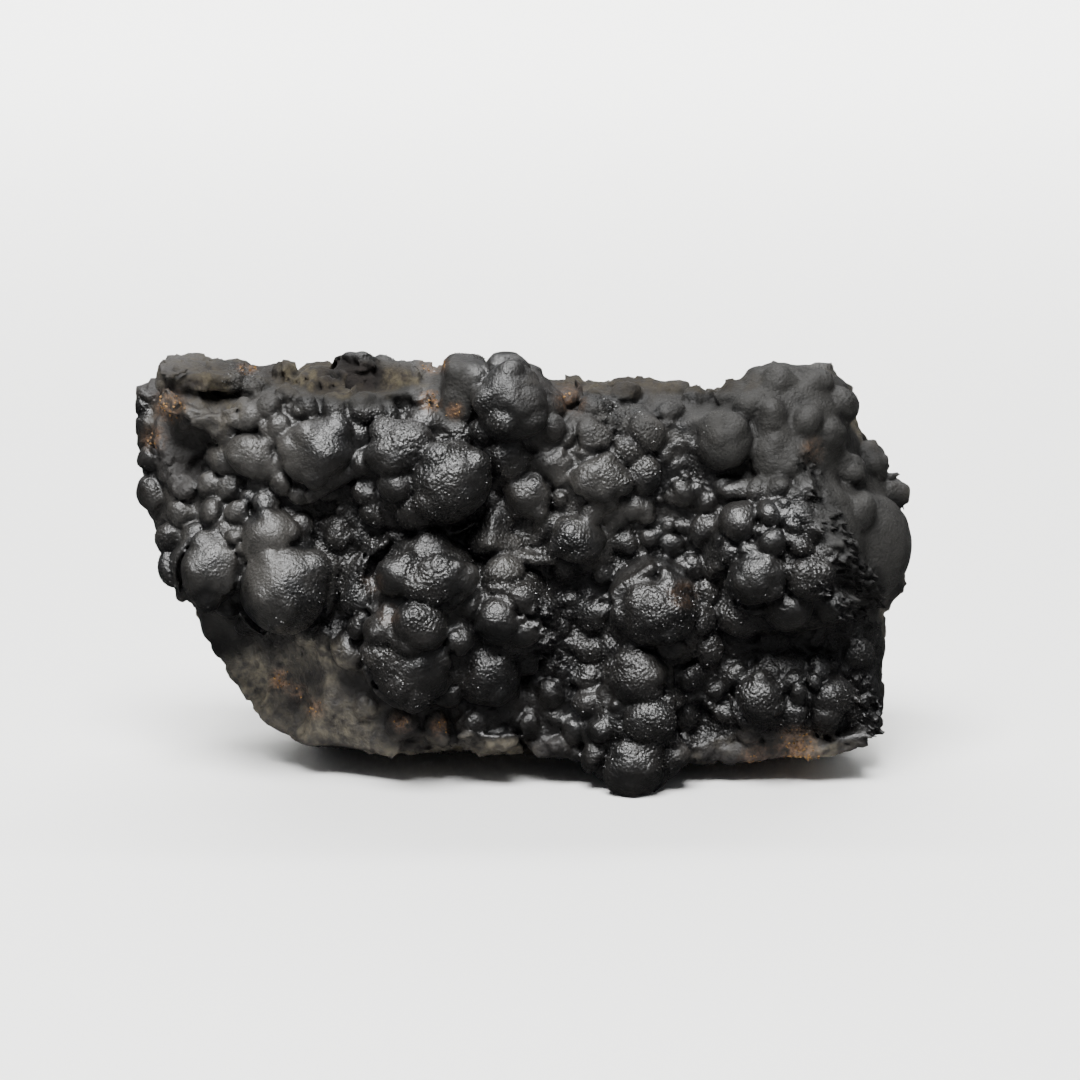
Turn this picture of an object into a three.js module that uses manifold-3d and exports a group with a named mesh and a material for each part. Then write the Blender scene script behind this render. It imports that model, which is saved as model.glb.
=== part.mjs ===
// A hand specimen of botryoidal goethite: one natural piece, a broken slab of massive iron
// oxide whose front is grown over with black, grape-like lobes. Millimetres, +X to the
// right of the lobed front, +Y to the broken back, +Z up. The origin is the middle of the
// bounding box at its foot.
import * as THREE from "three";
import { ConvexGeometry } from "three/addons/geometries/ConvexGeometry.js";
import { mergeVertices } from "three/addons/utils/BufferGeometryUtils.js";
import Module from "manifold-3d";

const wasm = await Module();
wasm.setup();

// The lobes were read off the front as it is seen from a little above, so each is placed by
// sheet coordinates: millimetres across (u) and up (v) on a sheet square to that line of
// sight, and millimetres back (y) from the foremost lobe.
const SIGHT_TIP = THREE.MathUtils.degToRad(12.5);
const SIGHT_DISTANCE = 660;
const SHEET_MIDDLE = { u: 2.7, v: 42.9 };
// The plane that the specimen rests on passes through v = 0 at this depth.
const FOOT_DEPTH = 6;
const WELD_TOLERANCE = 1e-4;

function spreadAt(v, y) {
  return 1 + (y - v * Math.sin(SIGHT_TIP)) / Math.cos(SIGHT_TIP) / SIGHT_DISTANCE;
}

function place(u, v, y) {
  const spread = spreadAt(v, y);
  const across = SHEET_MIDDLE.u + (u - SHEET_MIDDLE.u) * spread;
  const up = SHEET_MIDDLE.v + (v - SHEET_MIDDLE.v) * spread;
  const z = (up - (y - FOOT_DEPTH) * Math.sin(SIGHT_TIP)) / Math.cos(SIGHT_TIP);
  return new THREE.Vector3(across, y, z);
}

// Broken blocks of the massive rock, each the hull of a few corners [u, v, y].
const BLOCKS = [
  // left half, with the ledge along its top and the plain fracture at its lower left
  [
    [-65.3, 60, 27], [-64.5, 65, 28], [-61.5, 70.6, 30], [-55, 72.6, 30], [-46, 71.4, 28],
    [-28, 72.4, 29], [-8, 72.4, 28], [5, 69.5, 28], [-59, 57, 19], [-54, 65, 18], [-46, 65, 14],
    [-27, 66, 13], [-8, 66, 13], [4, 62, 13], [4, 12, 12], [-15, 8.4, 11], [-22, 7, 11],
    [-36, 8.4, 15], [-45, 16, 17], [-50, 26, 17], [-57, 38, 19], [-61, 47, 22],
    [-37, 8.4, 20], [-44.2, 12.8, 23], [-49.8, 19.8, 24], [-50.6, 25, 24], [-54.6, 33, 25],
    [-60.4, 41, 26], [-63.8, 51, 27], [-58, 60, 42], [-50, 68, 38], [-28, 69, 37],
    [-4, 68, 38], [6, 64, 39], [-54, 40, 44], [-45, 22, 48], [-31, 9, 50], [6, 8, 52],
  ],
  // middle
  [
    [-3, 63, 14], [36, 63, 14], [-3, 12, 12], [36, 10, 13], [3, 6.4, 10], [30, 5.4, 10],
    [-2, 70.5, 29], [8.8, 68.2, 28], [20, 68.8, 28], [36, 69.6, 28], [0, 65, 39], [36, 65, 39],
    [0, 7.5, 52], [36, 7.5, 52],
  ],
  // right half
  [
    [32, 63, 14], [50, 64, 15], [55, 55, 19], [56, 32, 19], [55, 14, 17],
    [34, 10, 13], [35, 69.6, 26], [42, 73, 28], [51, 72.4, 28], [55, 67.6, 29], [56, 60, 29],
    [59.6, 50, 31], [60.4, 28, 30], [59.8, 19, 28], [60.4, 12.6, 24], [58.4, 9.6, 17],
    [45, 7.6, 13], [31, 5.6, 11], [38, 67, 39], [52, 67, 38],
    [57, 50, 43], [57, 32, 47], [53, 14, 51], [34, 8, 52],
  ],
  // shoulder that turns away on the right
  [
    [55, 59, 26], [60.6, 56, 30], [63.4, 50, 31], [65, 44, 32], [64.6, 36, 31], [61, 31, 29],
    [56, 30, 22], [54, 44, 18], [55, 56, 20], [57, 54, 42], [60, 44, 44], [58, 33, 44],
  ],
  // foot under the lowest lobes
  [
    [9, 14, 9], [29, 14, 9], [11, 5, 7], [26, 4.4, 7], [17.5, -1, 6], [20.5, -1, 6],
    [12, 4, 22], [26, 4, 22], [18, 16, 5],
  ],
];

// Stepped breaks of the back, each by the four corners [u, v, y] of its face.
const BACK_BREAKS = [
  [[-55, 60, 40], [-22, 64, 41], [-18, 40, 51], [-53, 41, 46]],
  [[-49, 44, 46], [-14, 46, 49], [-12, 12, 57], [-36, 14, 53]],
  [[-31, 66, 37], [12, 63, 43], [17, 40, 48], [-25, 42, 50]],
  [[-22, 46, 48], [22, 42, 52], [20, 13, 56], [-17, 13, 57.5]],
  [[4, 64, 42], [50, 67, 38], [56, 44, 46], [8, 40, 50]],
  [[11, 44, 50], [56, 44, 46], [52, 13, 54], [14, 12, 57]],
];
const BREAK_ROOT_DEPTH = 30;
const BREAK_ROOT_GROWTH = 1.12;

// Round spalls broken out of the blocks: [u, v, y, radius].
const SPALLS = [
  [-60, 12, -8, 33], [-12, 98, 2, 27], [75, 14, 42, 17], [-70, 30, 54, 20], [14, 92, 44, 25],
];

// Broad bulges that carry the lobes: [u, v, y of the front, radius].
const BULGES = [
  [-43, 42, 9, 14], [-51, 40, 13, 9.5], [-38, 59, 11, 11], [-18, 54, 7, 12], [-2, 63.6, 9, 9],
  [-16, 30, 3, 16], [-3, 31, 5, 10], [11, 54, 10, 12], [9, 44, 10, 10],
  [43, 61, 11.5, 12], [43, 42, 4, 16], [22, 30, 6, 12],
  [19, 13.6, 4, 10], [43, 17.6, 8, 11], [-6, 16, 8, 9], [54, 42, 13, 11],
];

// Gaps that stay open between the bulges: [u, v, y, radius].
const GAPS = [
  [-34, 48.4, 10, 4.4], [-31, 30, 10, 4.6], [-56.4, 57, 16, 6], [31, 54.6, 9, 3.2],
  [28.6, 12, 9, 4.4], [33.4, 34, 8, 3.6], [4.4, 27, 6, 3.6], [-21, 65, 14, 3.2],
];

// Lobes are listed by the width that shows, but neighbours cut into each other.
const SWELL = 1.14;

// Round lobes by patch of the face: [u, v, radius, how far proud in radii].
const LEFT_LOBES = [
  [-40.2, 35, 6.9, 1.0], [-42.8, 43.5, 4.6, 0.7], [-52.2, 38, 5.4, 0.9], [-45.4, 57, 4, 0.9],
  [-57, 47.5, 2.7, 0.6], [-57.4, 38.8, 2.4, 0.5], [-49.5, 32.4, 2.4, 0.6], [-44.8, 52, 2.6, 0.7],
  [-41, 53, 2.2, 0.8], [-51.8, 47.4, 2.6, 0.7], [-47.8, 47.4, 2.2, 0.7], [-31.2, 43.6, 2.7, 0.5],
  [-46, 29, 2.4, 0.5], [-36.4, 27.4, 2.4, 0.5],
];
const TOP_LEFT_LOBES = [
  [-39.8, 66.8, 2.1, 0.7], [-43, 65, 2.2, 0.7], [-46.4, 67.6, 2.4, 0.5], [-28, 69.6, 4.3, 0.6],
  [-34.2, 68.4, 3.3, 0.5], [-20.5, 69, 3.5, 0.5], [-26.4, 64.8, 3, 0.6], [-31.6, 64.8, 2.4, 0.7],
];
const SECOND_LOBES = [
  [-12.5, 53, 6, 1.0], [-22, 52, 2.7, 0.8], [-25.5, 47.6, 2.3, 0.7], [-18.6, 47.6, 3.2, 0.7],
  [-26.6, 55.6, 3.2, 0.7], [-11.2, 60.6, 2.8, 0.7],
];
const CROWN_LOBES = [
  [-2, 65.6, 5.7, 0.8], [-6.4, 66.4, 2.4, 1.5], [-0.2, 67, 2.6, 1.8], [-3, 70.2, 3.6, 0.4],
  [-2.5, 57, 3.8, 0.7], [0.5, 50.8, 4, 0.9],
];
const LEADING_LOBES = [
  [-16.5, 36.6, 7.4, 0.5], [-20.8, 36.8, 4.1, 1.3], [-14.6, 36.8, 4.5, 1.3], [-12.4, 33.8, 2.1, 1.8],
  [-16.6, 33.6, 2.1, 1.8], [-27.2, 33.4, 3, 0.6], [-22.8, 28, 3.9, 0.8], [-17.4, 28.2, 3.8, 1.3],
  [-19, 22.4, 6.3, 0.6], [-29, 24.4, 3.4, 0.6], [-9, 31.8, 2.6, 0.8], [-3.4, 36.8, 3.4, 0.8],
  [-0.8, 33.2, 3.4, 0.8], [-4.4, 29.6, 3.6, 0.9], [0, 28, 2.8, 0.8], [-6, 20.6, 5, 0.9],
  [0.4, 22.6, 2.4, 0.6], [4.8, 17.6, 2.8, 0.6], [0.8, 12.6, 3, 0.6], [-26.2, 39.4, 2.8, 0.5],
  [-11.2, 25.8, 2.7, 0.7], [-20.6, 12.6, 2.8, 0.5], [-14.4, 11.8, 3, 0.5], [-8.2, 12.2, 2.6, 0.5],
  [-3.8, 10.4, 2.4, 0.5],
];
const MIDDLE_LOBES = [
  [7, 66, 2.9, 0.7], [12.3, 64.6, 3, 0.7], [11.4, 60, 2.9, 0.7], [20.4, 61, 3.2, 0.8],
  [24.4, 64, 2.5, 0.5], [20, 53.8, 3.4, 0.8], [27, 51, 3.2, 0.6], [11.4, 47.6, 2.2, 0.8],
  [16, 47.6, 2.2, 0.8], [20.4, 47.6, 2.2, 0.8], [9, 43, 3.9, 0.9], [22, 31, 5.4, 0.9],
  [17.4, 30.6, 2.6, 1.4], [12.4, 31, 3.5, 0.7], [19.3, 20, 4.3, 1.2], [24.4, 25, 2.2, 0.8],
  [27.6, 20.6, 3, 0.7], [12.6, 36.8, 2.5, 0.5], [6.6, 38.6, 2.4, 0.5],
];
const LOW_LOBES = [
  [13.4, 11.4, 2.3, 0.7], [10.6, 20, 2.4, 0.6], [21, 12.8, 3.7, 0.8], [18.3, 5.2, 4.5, 0.9],
  [12, 6.6, 2.4, 0.5], [39.8, 16.2, 3.9, 1.1], [45.2, 18.6, 2.2, 0.7], [51, 16.4, 3.7, 0.8],
  [50.4, 12.6, 2.4, 0.8], [34, 14, 2.6, 0.5], [45.4, 13.4, 2.4, 0.6],
];
const SATIN_LOBES = [
  [33.7, 59.5, 5.1, 0.9], [42.8, 69.2, 2.8, 0.4], [48.6, 69.2, 2.8, 0.4], [42, 63.4, 2.8, 0.4],
  [43, 56.6, 4.4, 0.5], [51.6, 60.6, 2.6, 0.5], [54, 55, 2.8, 0.5],
];
const RIDGE_LOBES = [
  [34.5, 51.2, 2.5, 0.8], [38.8, 51, 2.1, 0.7], [36.2, 45.8, 3.2, 0.9], [41.6, 47, 2.4, 0.9],
  [46.4, 46.6, 2.4, 0.8], [42, 42.6, 2.3, 1.0], [35, 40.6, 2.2, 0.7], [46.4, 42, 2.2, 0.8],
  [39.6, 37, 4.4, 0.8], [47.6, 37, 3.9, 0.8], [44.6, 31.6, 3.5, 0.7], [52, 32.8, 3.2, 0.6],
  [51.6, 41.4, 2.6, 0.6], [30.6, 34, 3, 0.5], [61.4, 42.4, 3.2, 0.3], [60.4, 36, 3, 0.3],
];
const LOBES = [
  ...LEFT_LOBES, ...TOP_LEFT_LOBES, ...SECOND_LOBES, ...CROWN_LOBES, ...LEADING_LOBES,
  ...MIDDLE_LOBES, ...LOW_LOBES, ...SATIN_LOBES, ...RIDGE_LOBES,
];

// Long lobes: [u, v, half length, half height, turn in degrees, how far proud in radii].
const OVAL_LOBES = [
  [-34.8, 57.8, 6.8, 5.6, 5, 0.9], [-20.8, 58, 6.4, 4.8, 28, 0.8], [5, 55.2, 4.8, 3, 10, 0.7],
  [12.7, 52.8, 5.2, 3.7, -4, 0.9], [10.8, 25, 4, 2.3, 0, 0.7],
];

// Crystals that end in a point: [u, v, radius, turn in degrees].
const PEAKS = [
  [-5.5, 44.2, 4.4, 20], [-16, 41.6, 2.4, 0], [41.4, 13, 2.4, 15], [-52.6, 56.6, 2.4, 30],
  [25.4, 58.6, 2.6, -20],
];

// Slabs and ledges: [u, v, y, half length, half height, half depth, turn in degrees].
const SLABS = [
  [-10.4, 68.4, 19, 4, 5.4, 8, -10], [-54.4, 70.4, 25, 8, 2.2, 8, -2],
  [-55.4, 65.4, 21, 6.4, 1.6, 6, -24], [45, 9.6, 18, 14, 1.9, 8, 6],
  [-31.6, 53.2, 13, 6.4, 1.4, 4, 28],
  [0, 41.2, 9, 4, 1.4, 5, -8], [18, 36.6, 9, 5, 1.3, 4, 34],
  [25.2, 36.8, 9, 3.4, 1.3, 4, -34], [37, 28, 10, 5.4, 1.3, 5, -12],
];

// Combs of short needles: first and last [u, v], how many, length, and half width.
const COMBS = [
  { from: [2.6, 31], to: [5.4, 22], count: 4, length: 5, half: 1 },
  { from: [50.6, 45], to: [56.4, 34], count: 5, length: 5, half: 1 },
  { from: [56, 20], to: [57.6, 12.4], count: 3, length: 5, half: 1 },
];
const NEEDLE_LIFT = THREE.MathUtils.degToRad(14);

// A pointed crystal's height in radii, its lean from upright, and how far it stands proud.
const PEAK_HEIGHT = 2.2;
const PEAK_LEAN = THREE.MathUtils.degToRad(58);
const PEAK_PROUD = 0.2;
const PEAK_SIDES = 5;

// The flat cut that the specimen rests on.
const CUT_DEPTH = 30;
const CUT_REACH = 200;

// Depths where a line of sight starts and ends, and where one that misses is taken to end.
const SIGHT_START = -30;
const SIGHT_END = 60;
const RIM_DEPTH = 26;

// Lobes over these radii get finer facets, and so do bulges over the last one.
const LARGE_RADIUS = 6.5;
const MIDDLING_RADIUS = 3.9;
const BROAD_RADIUS = 12.5;
// A twelve-sided nodule is drawn larger, to enclose as much as its ball.
const NODULE_GROWTH = 1.1;
const CRUST_COLOUR = 0x1c1b1c;
const GOLDEN_ANGLE = 2.39996;

// Turn a closed three.js geometry into a solid that can be joined and cut.
function solidOf(geometry) {
  const bare = geometry.clone();
  bare.deleteAttribute("normal");
  bare.deleteAttribute("uv");
  const welded = mergeVertices(bare, WELD_TOLERANCE);
  const vertProperties = new Float32Array(welded.getAttribute("position").array);
  const triVerts = new Uint32Array(welded.index.array);
  return new wasm.Manifold(new wasm.Mesh({ numProp: 3, vertProperties, triVerts }));
}

function geometryOf(solid) {
  const { vertProperties, triVerts, numProp } = solid.getMesh();
  const geometry = new THREE.BufferGeometry();
  const positions = new Float32Array((vertProperties.length / numProp) * 3);
  for (let i = 0; i < positions.length / 3; i += 1) {
    positions.set(vertProperties.subarray(i * numProp, i * numProp + 3), i * 3);
  }
  geometry.setAttribute("position", new THREE.BufferAttribute(positions, 3));
  geometry.setIndex(new THREE.BufferAttribute(new Uint32Array(triVerts), 1));
  return geometry;
}

// Fewer facets on a small lobe than on a large one.
function roundForm(radius) {
  if (radius > LARGE_RADIUS) return new THREE.IcosahedronGeometry(1, 2);
  if (radius > MIDDLING_RADIUS) return new THREE.IcosahedronGeometry(1, 1);
  return new THREE.DodecahedronGeometry(NODULE_GROWTH);
}

// The index turns each form's facets to another side than its neighbours'.
function ballAt(geometry, centre, radii, turn, index) {
  geometry.rotateY(index * GOLDEN_ANGLE);
  geometry.scale(radii[0], radii[1], radii[2]);
  geometry.rotateY(-turn);
  geometry.rotateX(SIGHT_TIP);
  geometry.translate(centre.x, centre.y, centre.z);
  return solidOf(geometry);
}

function blockOf(corners) {
  return solidOf(new ConvexGeometry(corners.map(([u, v, y]) => place(u, v, y))));
}

// The root of a break is a little wider than its face and lies inside the blocks.
function backBreak(face) {
  const middle = [0, 1].map((i) => face.reduce((sum, corner) => sum + corner[i], 0) / face.length);
  const spreadOut = (value, i) => middle[i] + (value - middle[i]) * BREAK_ROOT_GROWTH;
  const root = face.map(([u, v]) => [spreadOut(u, 0), spreadOut(v, 1), BREAK_ROOT_DEPTH]);
  return blockOf([...face, ...root]);
}

function roundBody([u, v, y, radius], index) {
  const broad = new THREE.IcosahedronGeometry(1, 1);
  const form = radius > BROAD_RADIUS ? broad : new THREE.DodecahedronGeometry(NODULE_GROWTH);
  return ballAt(form, place(u, v, y), [radius, radius, radius], 0, index);
}

function bulgeOf([u, v, front, radius], index) {
  return roundBody([u, v, front + radius, radius], index);
}

// A function that says how far back the line of sight at (u, v) first meets the rock.
function faceDepthFinder(rock) {
  const geometry = geometryOf(rock);
  const mesh = new THREE.Mesh(geometry, new THREE.MeshBasicMaterial({ side: THREE.DoubleSide }));
  return (u, v) => {
    const start = place(u, v, SIGHT_START);
    const way = place(u, v, SIGHT_END).sub(start).normalize();
    const hits = new THREE.Raycaster(start, way).intersectObject(mesh);
    return hits.length ? hits[0].point.y : RIM_DEPTH;
  };
}

function lobeOf([u, v, radius, proud], index, faceDepth) {
  const grown = radius * SWELL;
  const y = faceDepth(u, v) + grown * (1 - proud);
  return ballAt(roundForm(radius), place(u, v, y), [grown, grown, grown], 0, index);
}

function ovalOf([u, v, long, high, turn, proud], index, faceDepth) {
  const deep = Math.min(long, high);
  const y = faceDepth(u, v) + deep * (1 - proud);
  const lean = THREE.MathUtils.degToRad(turn);
  return ballAt(new THREE.IcosahedronGeometry(1, 1), place(u, v, y), [long, deep, high], lean, index);
}

// A five-sided point that stands up along the face and leans back a little.
function peakOf([u, v, radius, turn], faceDepth) {
  const height = radius * PEAK_HEIGHT;
  const geometry = new THREE.ConeGeometry(radius, height, PEAK_SIDES);
  geometry.rotateY(THREE.MathUtils.degToRad(turn));
  geometry.rotateX(PEAK_LEAN);
  const foot = place(u, v, faceDepth(u, v) - height * PEAK_PROUD);
  geometry.translate(foot.x, foot.y, foot.z);
  return solidOf(geometry);
}

function slabOf([u, v, y, long, high, deep, turn]) {
  const geometry = new THREE.IcosahedronGeometry(1, 0);
  geometry.scale(long, deep, high);
  geometry.rotateY(-THREE.MathUtils.degToRad(turn));
  const middle = place(u, v, y);
  geometry.translate(middle.x, middle.y, middle.z);
  return solidOf(geometry);
}

// A row of short points that stand out of the face and a little up.
function combOf({ from, to, count, length, half }, faceDepth) {
  const needles = [];
  for (let i = 0; i < count; i += 1) {
    const t = i / (count - 1);
    const u = THREE.MathUtils.lerp(from[0], to[0], t);
    const v = THREE.MathUtils.lerp(from[1], to[1], t);
    const geometry = new THREE.ConeGeometry(half, length, 4);
    geometry.rotateX(Math.PI - NEEDLE_LIFT);
    const root = place(u, v, faceDepth(u, v));
    geometry.translate(root.x, root.y, root.z);
    needles.push(solidOf(geometry));
  }
  return needles;
}

function joined(solids) {
  return solids.reduce((whole, solid) => whole.add(solid));
}

function brokenRock() {
  const blocks = joined([...BLOCKS.map(blockOf), ...BACK_BREAKS.map(backBreak)]);
  const spalled = SPALLS.reduce((rock, spall, i) => rock.subtract(roundBody(spall, i)), blocks);
  const bulged = spalled.add(joined(BULGES.map(bulgeOf)));
  return GAPS.reduce((rock, gap, i) => rock.subtract(roundBody(gap, i)), bulged);
}

function specimen() {
  const rock = brokenRock();
  const faceDepth = faceDepthFinder(rock);
  const growths = [
    ...LOBES.map((lobe, i) => lobeOf(lobe, i, faceDepth)),
    ...OVAL_LOBES.map((oval, i) => ovalOf(oval, i, faceDepth)),
    ...PEAKS.map((peak) => peakOf(peak, faceDepth)),
    ...SLABS.map(slabOf),
    ...COMBS.flatMap((comb) => combOf(comb, faceDepth)),
  ];
  const grown = joined([rock, ...growths]);
  const ground = new THREE.BoxGeometry(CUT_REACH, CUT_REACH, CUT_DEPTH);
  ground.translate(0, 0, -CUT_DEPTH / 2);
  return geometryOf(grown.subtract(solidOf(ground)));
}

const goethite = new THREE.Mesh(
  specimen(),
  new THREE.MeshStandardMaterial({ color: CRUST_COLOUR, roughness: 0.4, metalness: 0.1 }),
);
goethite.name = "goethite";
goethite.geometry.computeBoundingBox();
const reach = goethite.geometry.boundingBox;
const middle = reach.getCenter(new THREE.Vector3());
goethite.geometry.translate(-middle.x, -middle.y, -reach.min.z);

const group = new THREE.Group();
group.add(goethite);

export default group;
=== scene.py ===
"""A hand specimen of botryoidal goethite: black, grape-like lobes on broken iron oxide."""
import math

import bmesh
import bpy
import numpy as np
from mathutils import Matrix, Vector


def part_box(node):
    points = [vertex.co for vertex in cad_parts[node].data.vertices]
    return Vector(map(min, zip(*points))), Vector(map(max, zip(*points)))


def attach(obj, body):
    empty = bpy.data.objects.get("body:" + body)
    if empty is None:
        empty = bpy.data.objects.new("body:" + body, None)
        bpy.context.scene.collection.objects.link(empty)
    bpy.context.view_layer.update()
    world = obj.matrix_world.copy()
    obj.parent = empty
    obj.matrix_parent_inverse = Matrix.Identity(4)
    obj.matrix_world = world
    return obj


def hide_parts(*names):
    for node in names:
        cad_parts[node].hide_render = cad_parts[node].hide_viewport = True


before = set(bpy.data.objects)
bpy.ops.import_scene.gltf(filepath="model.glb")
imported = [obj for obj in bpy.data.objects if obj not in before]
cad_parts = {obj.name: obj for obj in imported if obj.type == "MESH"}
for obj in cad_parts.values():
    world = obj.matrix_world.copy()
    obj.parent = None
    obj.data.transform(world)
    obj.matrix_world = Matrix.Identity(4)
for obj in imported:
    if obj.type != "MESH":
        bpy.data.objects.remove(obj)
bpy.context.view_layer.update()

import openvdb
from mathutils import Vector

MM = 0.001

# Sheet coordinates, as the specimen was measured: millimetres across (u) and up (v) on a
# sheet square to a line of sight from a little above, and back (y) from the foremost lobe.
SIGHT_TIP = math.radians(12.5)
SIGHT_DISTANCE = 660.0
SHEET_MIDDLE = (2.7, 42.9)
FOOT_DEPTH = 6.0
# Where the middle of the specimen's box is in that frame.
BOX_MIDDLE = (0.197, 27.745)

# Pixels of the photograph to a millimetre of the sheet, and its width.
PHOTO_SCALE = 5.95
PHOTO_WIDTH = 1080
SENSOR_WIDTH = 36.0


def place(u, v, y):
    """The point, in millimetres, that shows at (u, v) and lies y back. Takes arrays too."""
    spread = 1 + (y - v * math.sin(SIGHT_TIP)) / math.cos(SIGHT_TIP) / SIGHT_DISTANCE
    across = SHEET_MIDDLE[0] + (u - SHEET_MIDDLE[0]) * spread
    up = SHEET_MIDDLE[1] + (v - SHEET_MIDDLE[1]) * spread
    z = (up - (y - FOOT_DEPTH) * math.sin(SIGHT_TIP)) / math.cos(SIGHT_TIP)
    return np.stack(np.broadcast_arrays(across, y, z), axis=-1).astype(float)


def to_sheet(points):
    """The (u, v) at which points show."""
    x, y, z = points[..., 0], points[..., 1], points[..., 2]
    up = z * math.cos(SIGHT_TIP) + (y - FOOT_DEPTH) * math.sin(SIGHT_TIP)
    spread = 1 + (y - up * math.sin(SIGHT_TIP)) / math.cos(SIGHT_TIP) / SIGHT_DISTANCE
    u = SHEET_MIDDLE[0] + (x - SHEET_MIDDLE[0]) / spread
    v = SHEET_MIDDLE[1] + (up - SHEET_MIDDLE[1]) / spread
    return u, v


# Broken blocks of the massive rock, each the hull of a few corners [u, v, y].
BLOCKS = [
    # left half, with the ledge along its top and the plain fracture at its lower left
    [
        [-65.3, 60, 27], [-64.5, 65, 28], [-61.5, 70.6, 30], [-55, 72.6, 30], [-46, 71.4, 28],
        [-28, 72.4, 29], [-8, 72.4, 28], [5, 69.5, 28], [-59, 57, 19], [-54, 65, 18],
        [-46, 65, 14], [-27, 66, 13], [-8, 66, 13], [4, 62, 13], [4, 12, 12], [-15, 8.4, 11],
        [-22, 7, 11], [-36, 8.4, 15], [-45, 16, 17], [-50, 26, 17], [-57, 38, 19],
        [-61, 47, 22], [-37, 8.4, 20], [-44.2, 12.8, 23], [-49.8, 19.8, 24], [-50.6, 25, 24],
        [-54.6, 33, 25], [-60.4, 41, 26], [-63.8, 51, 27], [-58, 60, 42], [-50, 68, 38],
        [-28, 69, 37], [-4, 68, 38], [6, 64, 39], [-54, 40, 44], [-45, 22, 48], [-31, 9, 50],
        [6, 8, 52],
    ],
    # middle
    [
        [-3, 63, 14], [36, 63, 14], [-3, 12, 12], [36, 10, 13], [3, 6.4, 10], [30, 5.4, 10],
        [-2, 70.5, 29], [8.8, 68.2, 28], [20, 68.8, 28], [36, 69.6, 28], [0, 65, 39],
        [36, 65, 39], [0, 7.5, 52], [36, 7.5, 52],
    ],
    # right half
    [
        [32, 63, 14], [50, 64, 15], [55, 55, 19], [56, 32, 19], [55, 14, 17], [34, 10, 13],
        [35, 69.6, 26], [42, 73, 28], [51, 72.4, 28], [55, 67.6, 29], [56, 60, 29],
        [59.6, 50, 31], [60.4, 28, 30], [59.8, 19, 28], [60.4, 12.6, 24], [58.4, 9.6, 17],
        [45, 7.6, 13], [31, 5.6, 11], [38, 67, 39], [52, 67, 38], [57, 50, 43], [57, 32, 47],
        [53, 14, 51], [34, 8, 52],
    ],
    # shoulder that turns away on the right
    [
        [55, 59, 26], [60.6, 56, 30], [63.4, 50, 31], [65, 44, 32], [64.6, 36, 31],
        [61, 31, 29], [56, 30, 22], [54, 44, 18], [55, 56, 20], [57, 54, 42], [60, 44, 44],
        [58, 33, 44],
    ],
    # foot under the lowest lobes
    [
        [9, 14, 9], [29, 14, 9], [11, 5, 7], [26, 4.4, 7], [17.5, -1, 6], [20.5, -1, 6],
        [12, 4, 22], [26, 4, 22], [18, 16, 5],
    ],
]

# Stepped breaks of the back, each by the four corners [u, v, y] of its face.
BACK_BREAKS = [
    [[-55, 60, 40], [-22, 64, 41], [-18, 40, 51], [-53, 41, 46]],
    [[-49, 44, 46], [-14, 46, 49], [-12, 12, 57], [-36, 14, 53]],
    [[-31, 66, 37], [12, 63, 43], [17, 40, 48], [-25, 42, 50]],
    [[-22, 46, 48], [22, 42, 52], [20, 13, 56], [-17, 13, 57.5]],
    [[4, 64, 42], [50, 67, 38], [56, 44, 46], [8, 40, 50]],
    [[11, 44, 50], [56, 44, 46], [52, 13, 54], [14, 12, 57]],
]
BREAK_ROOT_DEPTH = 30
BREAK_ROOT_GROWTH = 1.12

# Round spalls broken out of the blocks: [u, v, y, radius].
SPALLS = [
    [-60, 12, -8, 33], [-12, 98, 2, 27], [75, 14, 42, 17], [-70, 30, 54, 20], [14, 92, 44, 25],
]

# Broad bulges that carry the lobes: [u, v, y of the front, radius].
BULGES = [
    [-43, 42, 9, 14], [-51, 40, 13, 9.5], [-38, 59, 11, 11], [-18, 54, 7, 12],
    [-2, 63.6, 9, 9], [-16, 30, 3, 16], [-3, 31, 5, 10], [11, 54, 10, 12], [9, 44, 10, 10],
    [43, 61, 11.5, 12], [43, 42, 4, 16], [22, 30, 6, 12], [19, 13.6, 4, 10],
    [43, 17.6, 8, 11], [-6, 16, 8, 9], [54, 42, 13, 11],
]

# Gaps that stay open between the bulges: [u, v, y, radius].
GAPS = [
    [-34, 48.4, 10, 4.4], [-31, 30, 10, 4.6], [-56.4, 57, 16, 6], [31, 54.6, 9, 3.2],
    [28.6, 12, 9, 4.4], [33.4, 34, 8, 3.6], [4.4, 27, 6, 3.6], [-21, 65, 14, 3.2],
]

# Lobes are listed by the width that shows, but neighbours cut into each other, small ones most.
SWELL = 1.14
FINE_SWELL = 1.32

# Round lobes by patch of the face: [u, v, radius, how far proud in radii].
LEFT_LOBES = [
    [-40.2, 35, 6.9, 1.0], [-42.8, 43.5, 4.6, 0.7], [-52.2, 38, 5.4, 0.9], [-45.4, 57, 4, 0.9],
    [-57, 47.5, 2.7, 0.6], [-57.4, 38.8, 2.4, 0.5], [-49.5, 32.4, 2.4, 0.6], [-44.8, 52, 2.6, 0.7],
    [-41, 53, 2.2, 0.8], [-51.8, 47.4, 2.6, 0.7], [-47.8, 47.4, 2.2, 0.7], [-31.2, 43.6, 2.7, 0.5],
    [-46, 29, 2.4, 0.5], [-36.4, 27.4, 2.4, 0.5],
]
TOP_LEFT_LOBES = [
    [-39.8, 66.8, 2.1, 0.7], [-43, 65, 2.2, 0.7], [-46.4, 67.6, 2.4, 0.5], [-28, 69.6, 4.3, 0.6],
    [-34.2, 68.4, 3.3, 0.5], [-20.5, 69, 3.5, 0.5], [-26.4, 64.8, 3, 0.6], [-31.6, 64.8, 2.4, 0.7],
]
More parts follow.
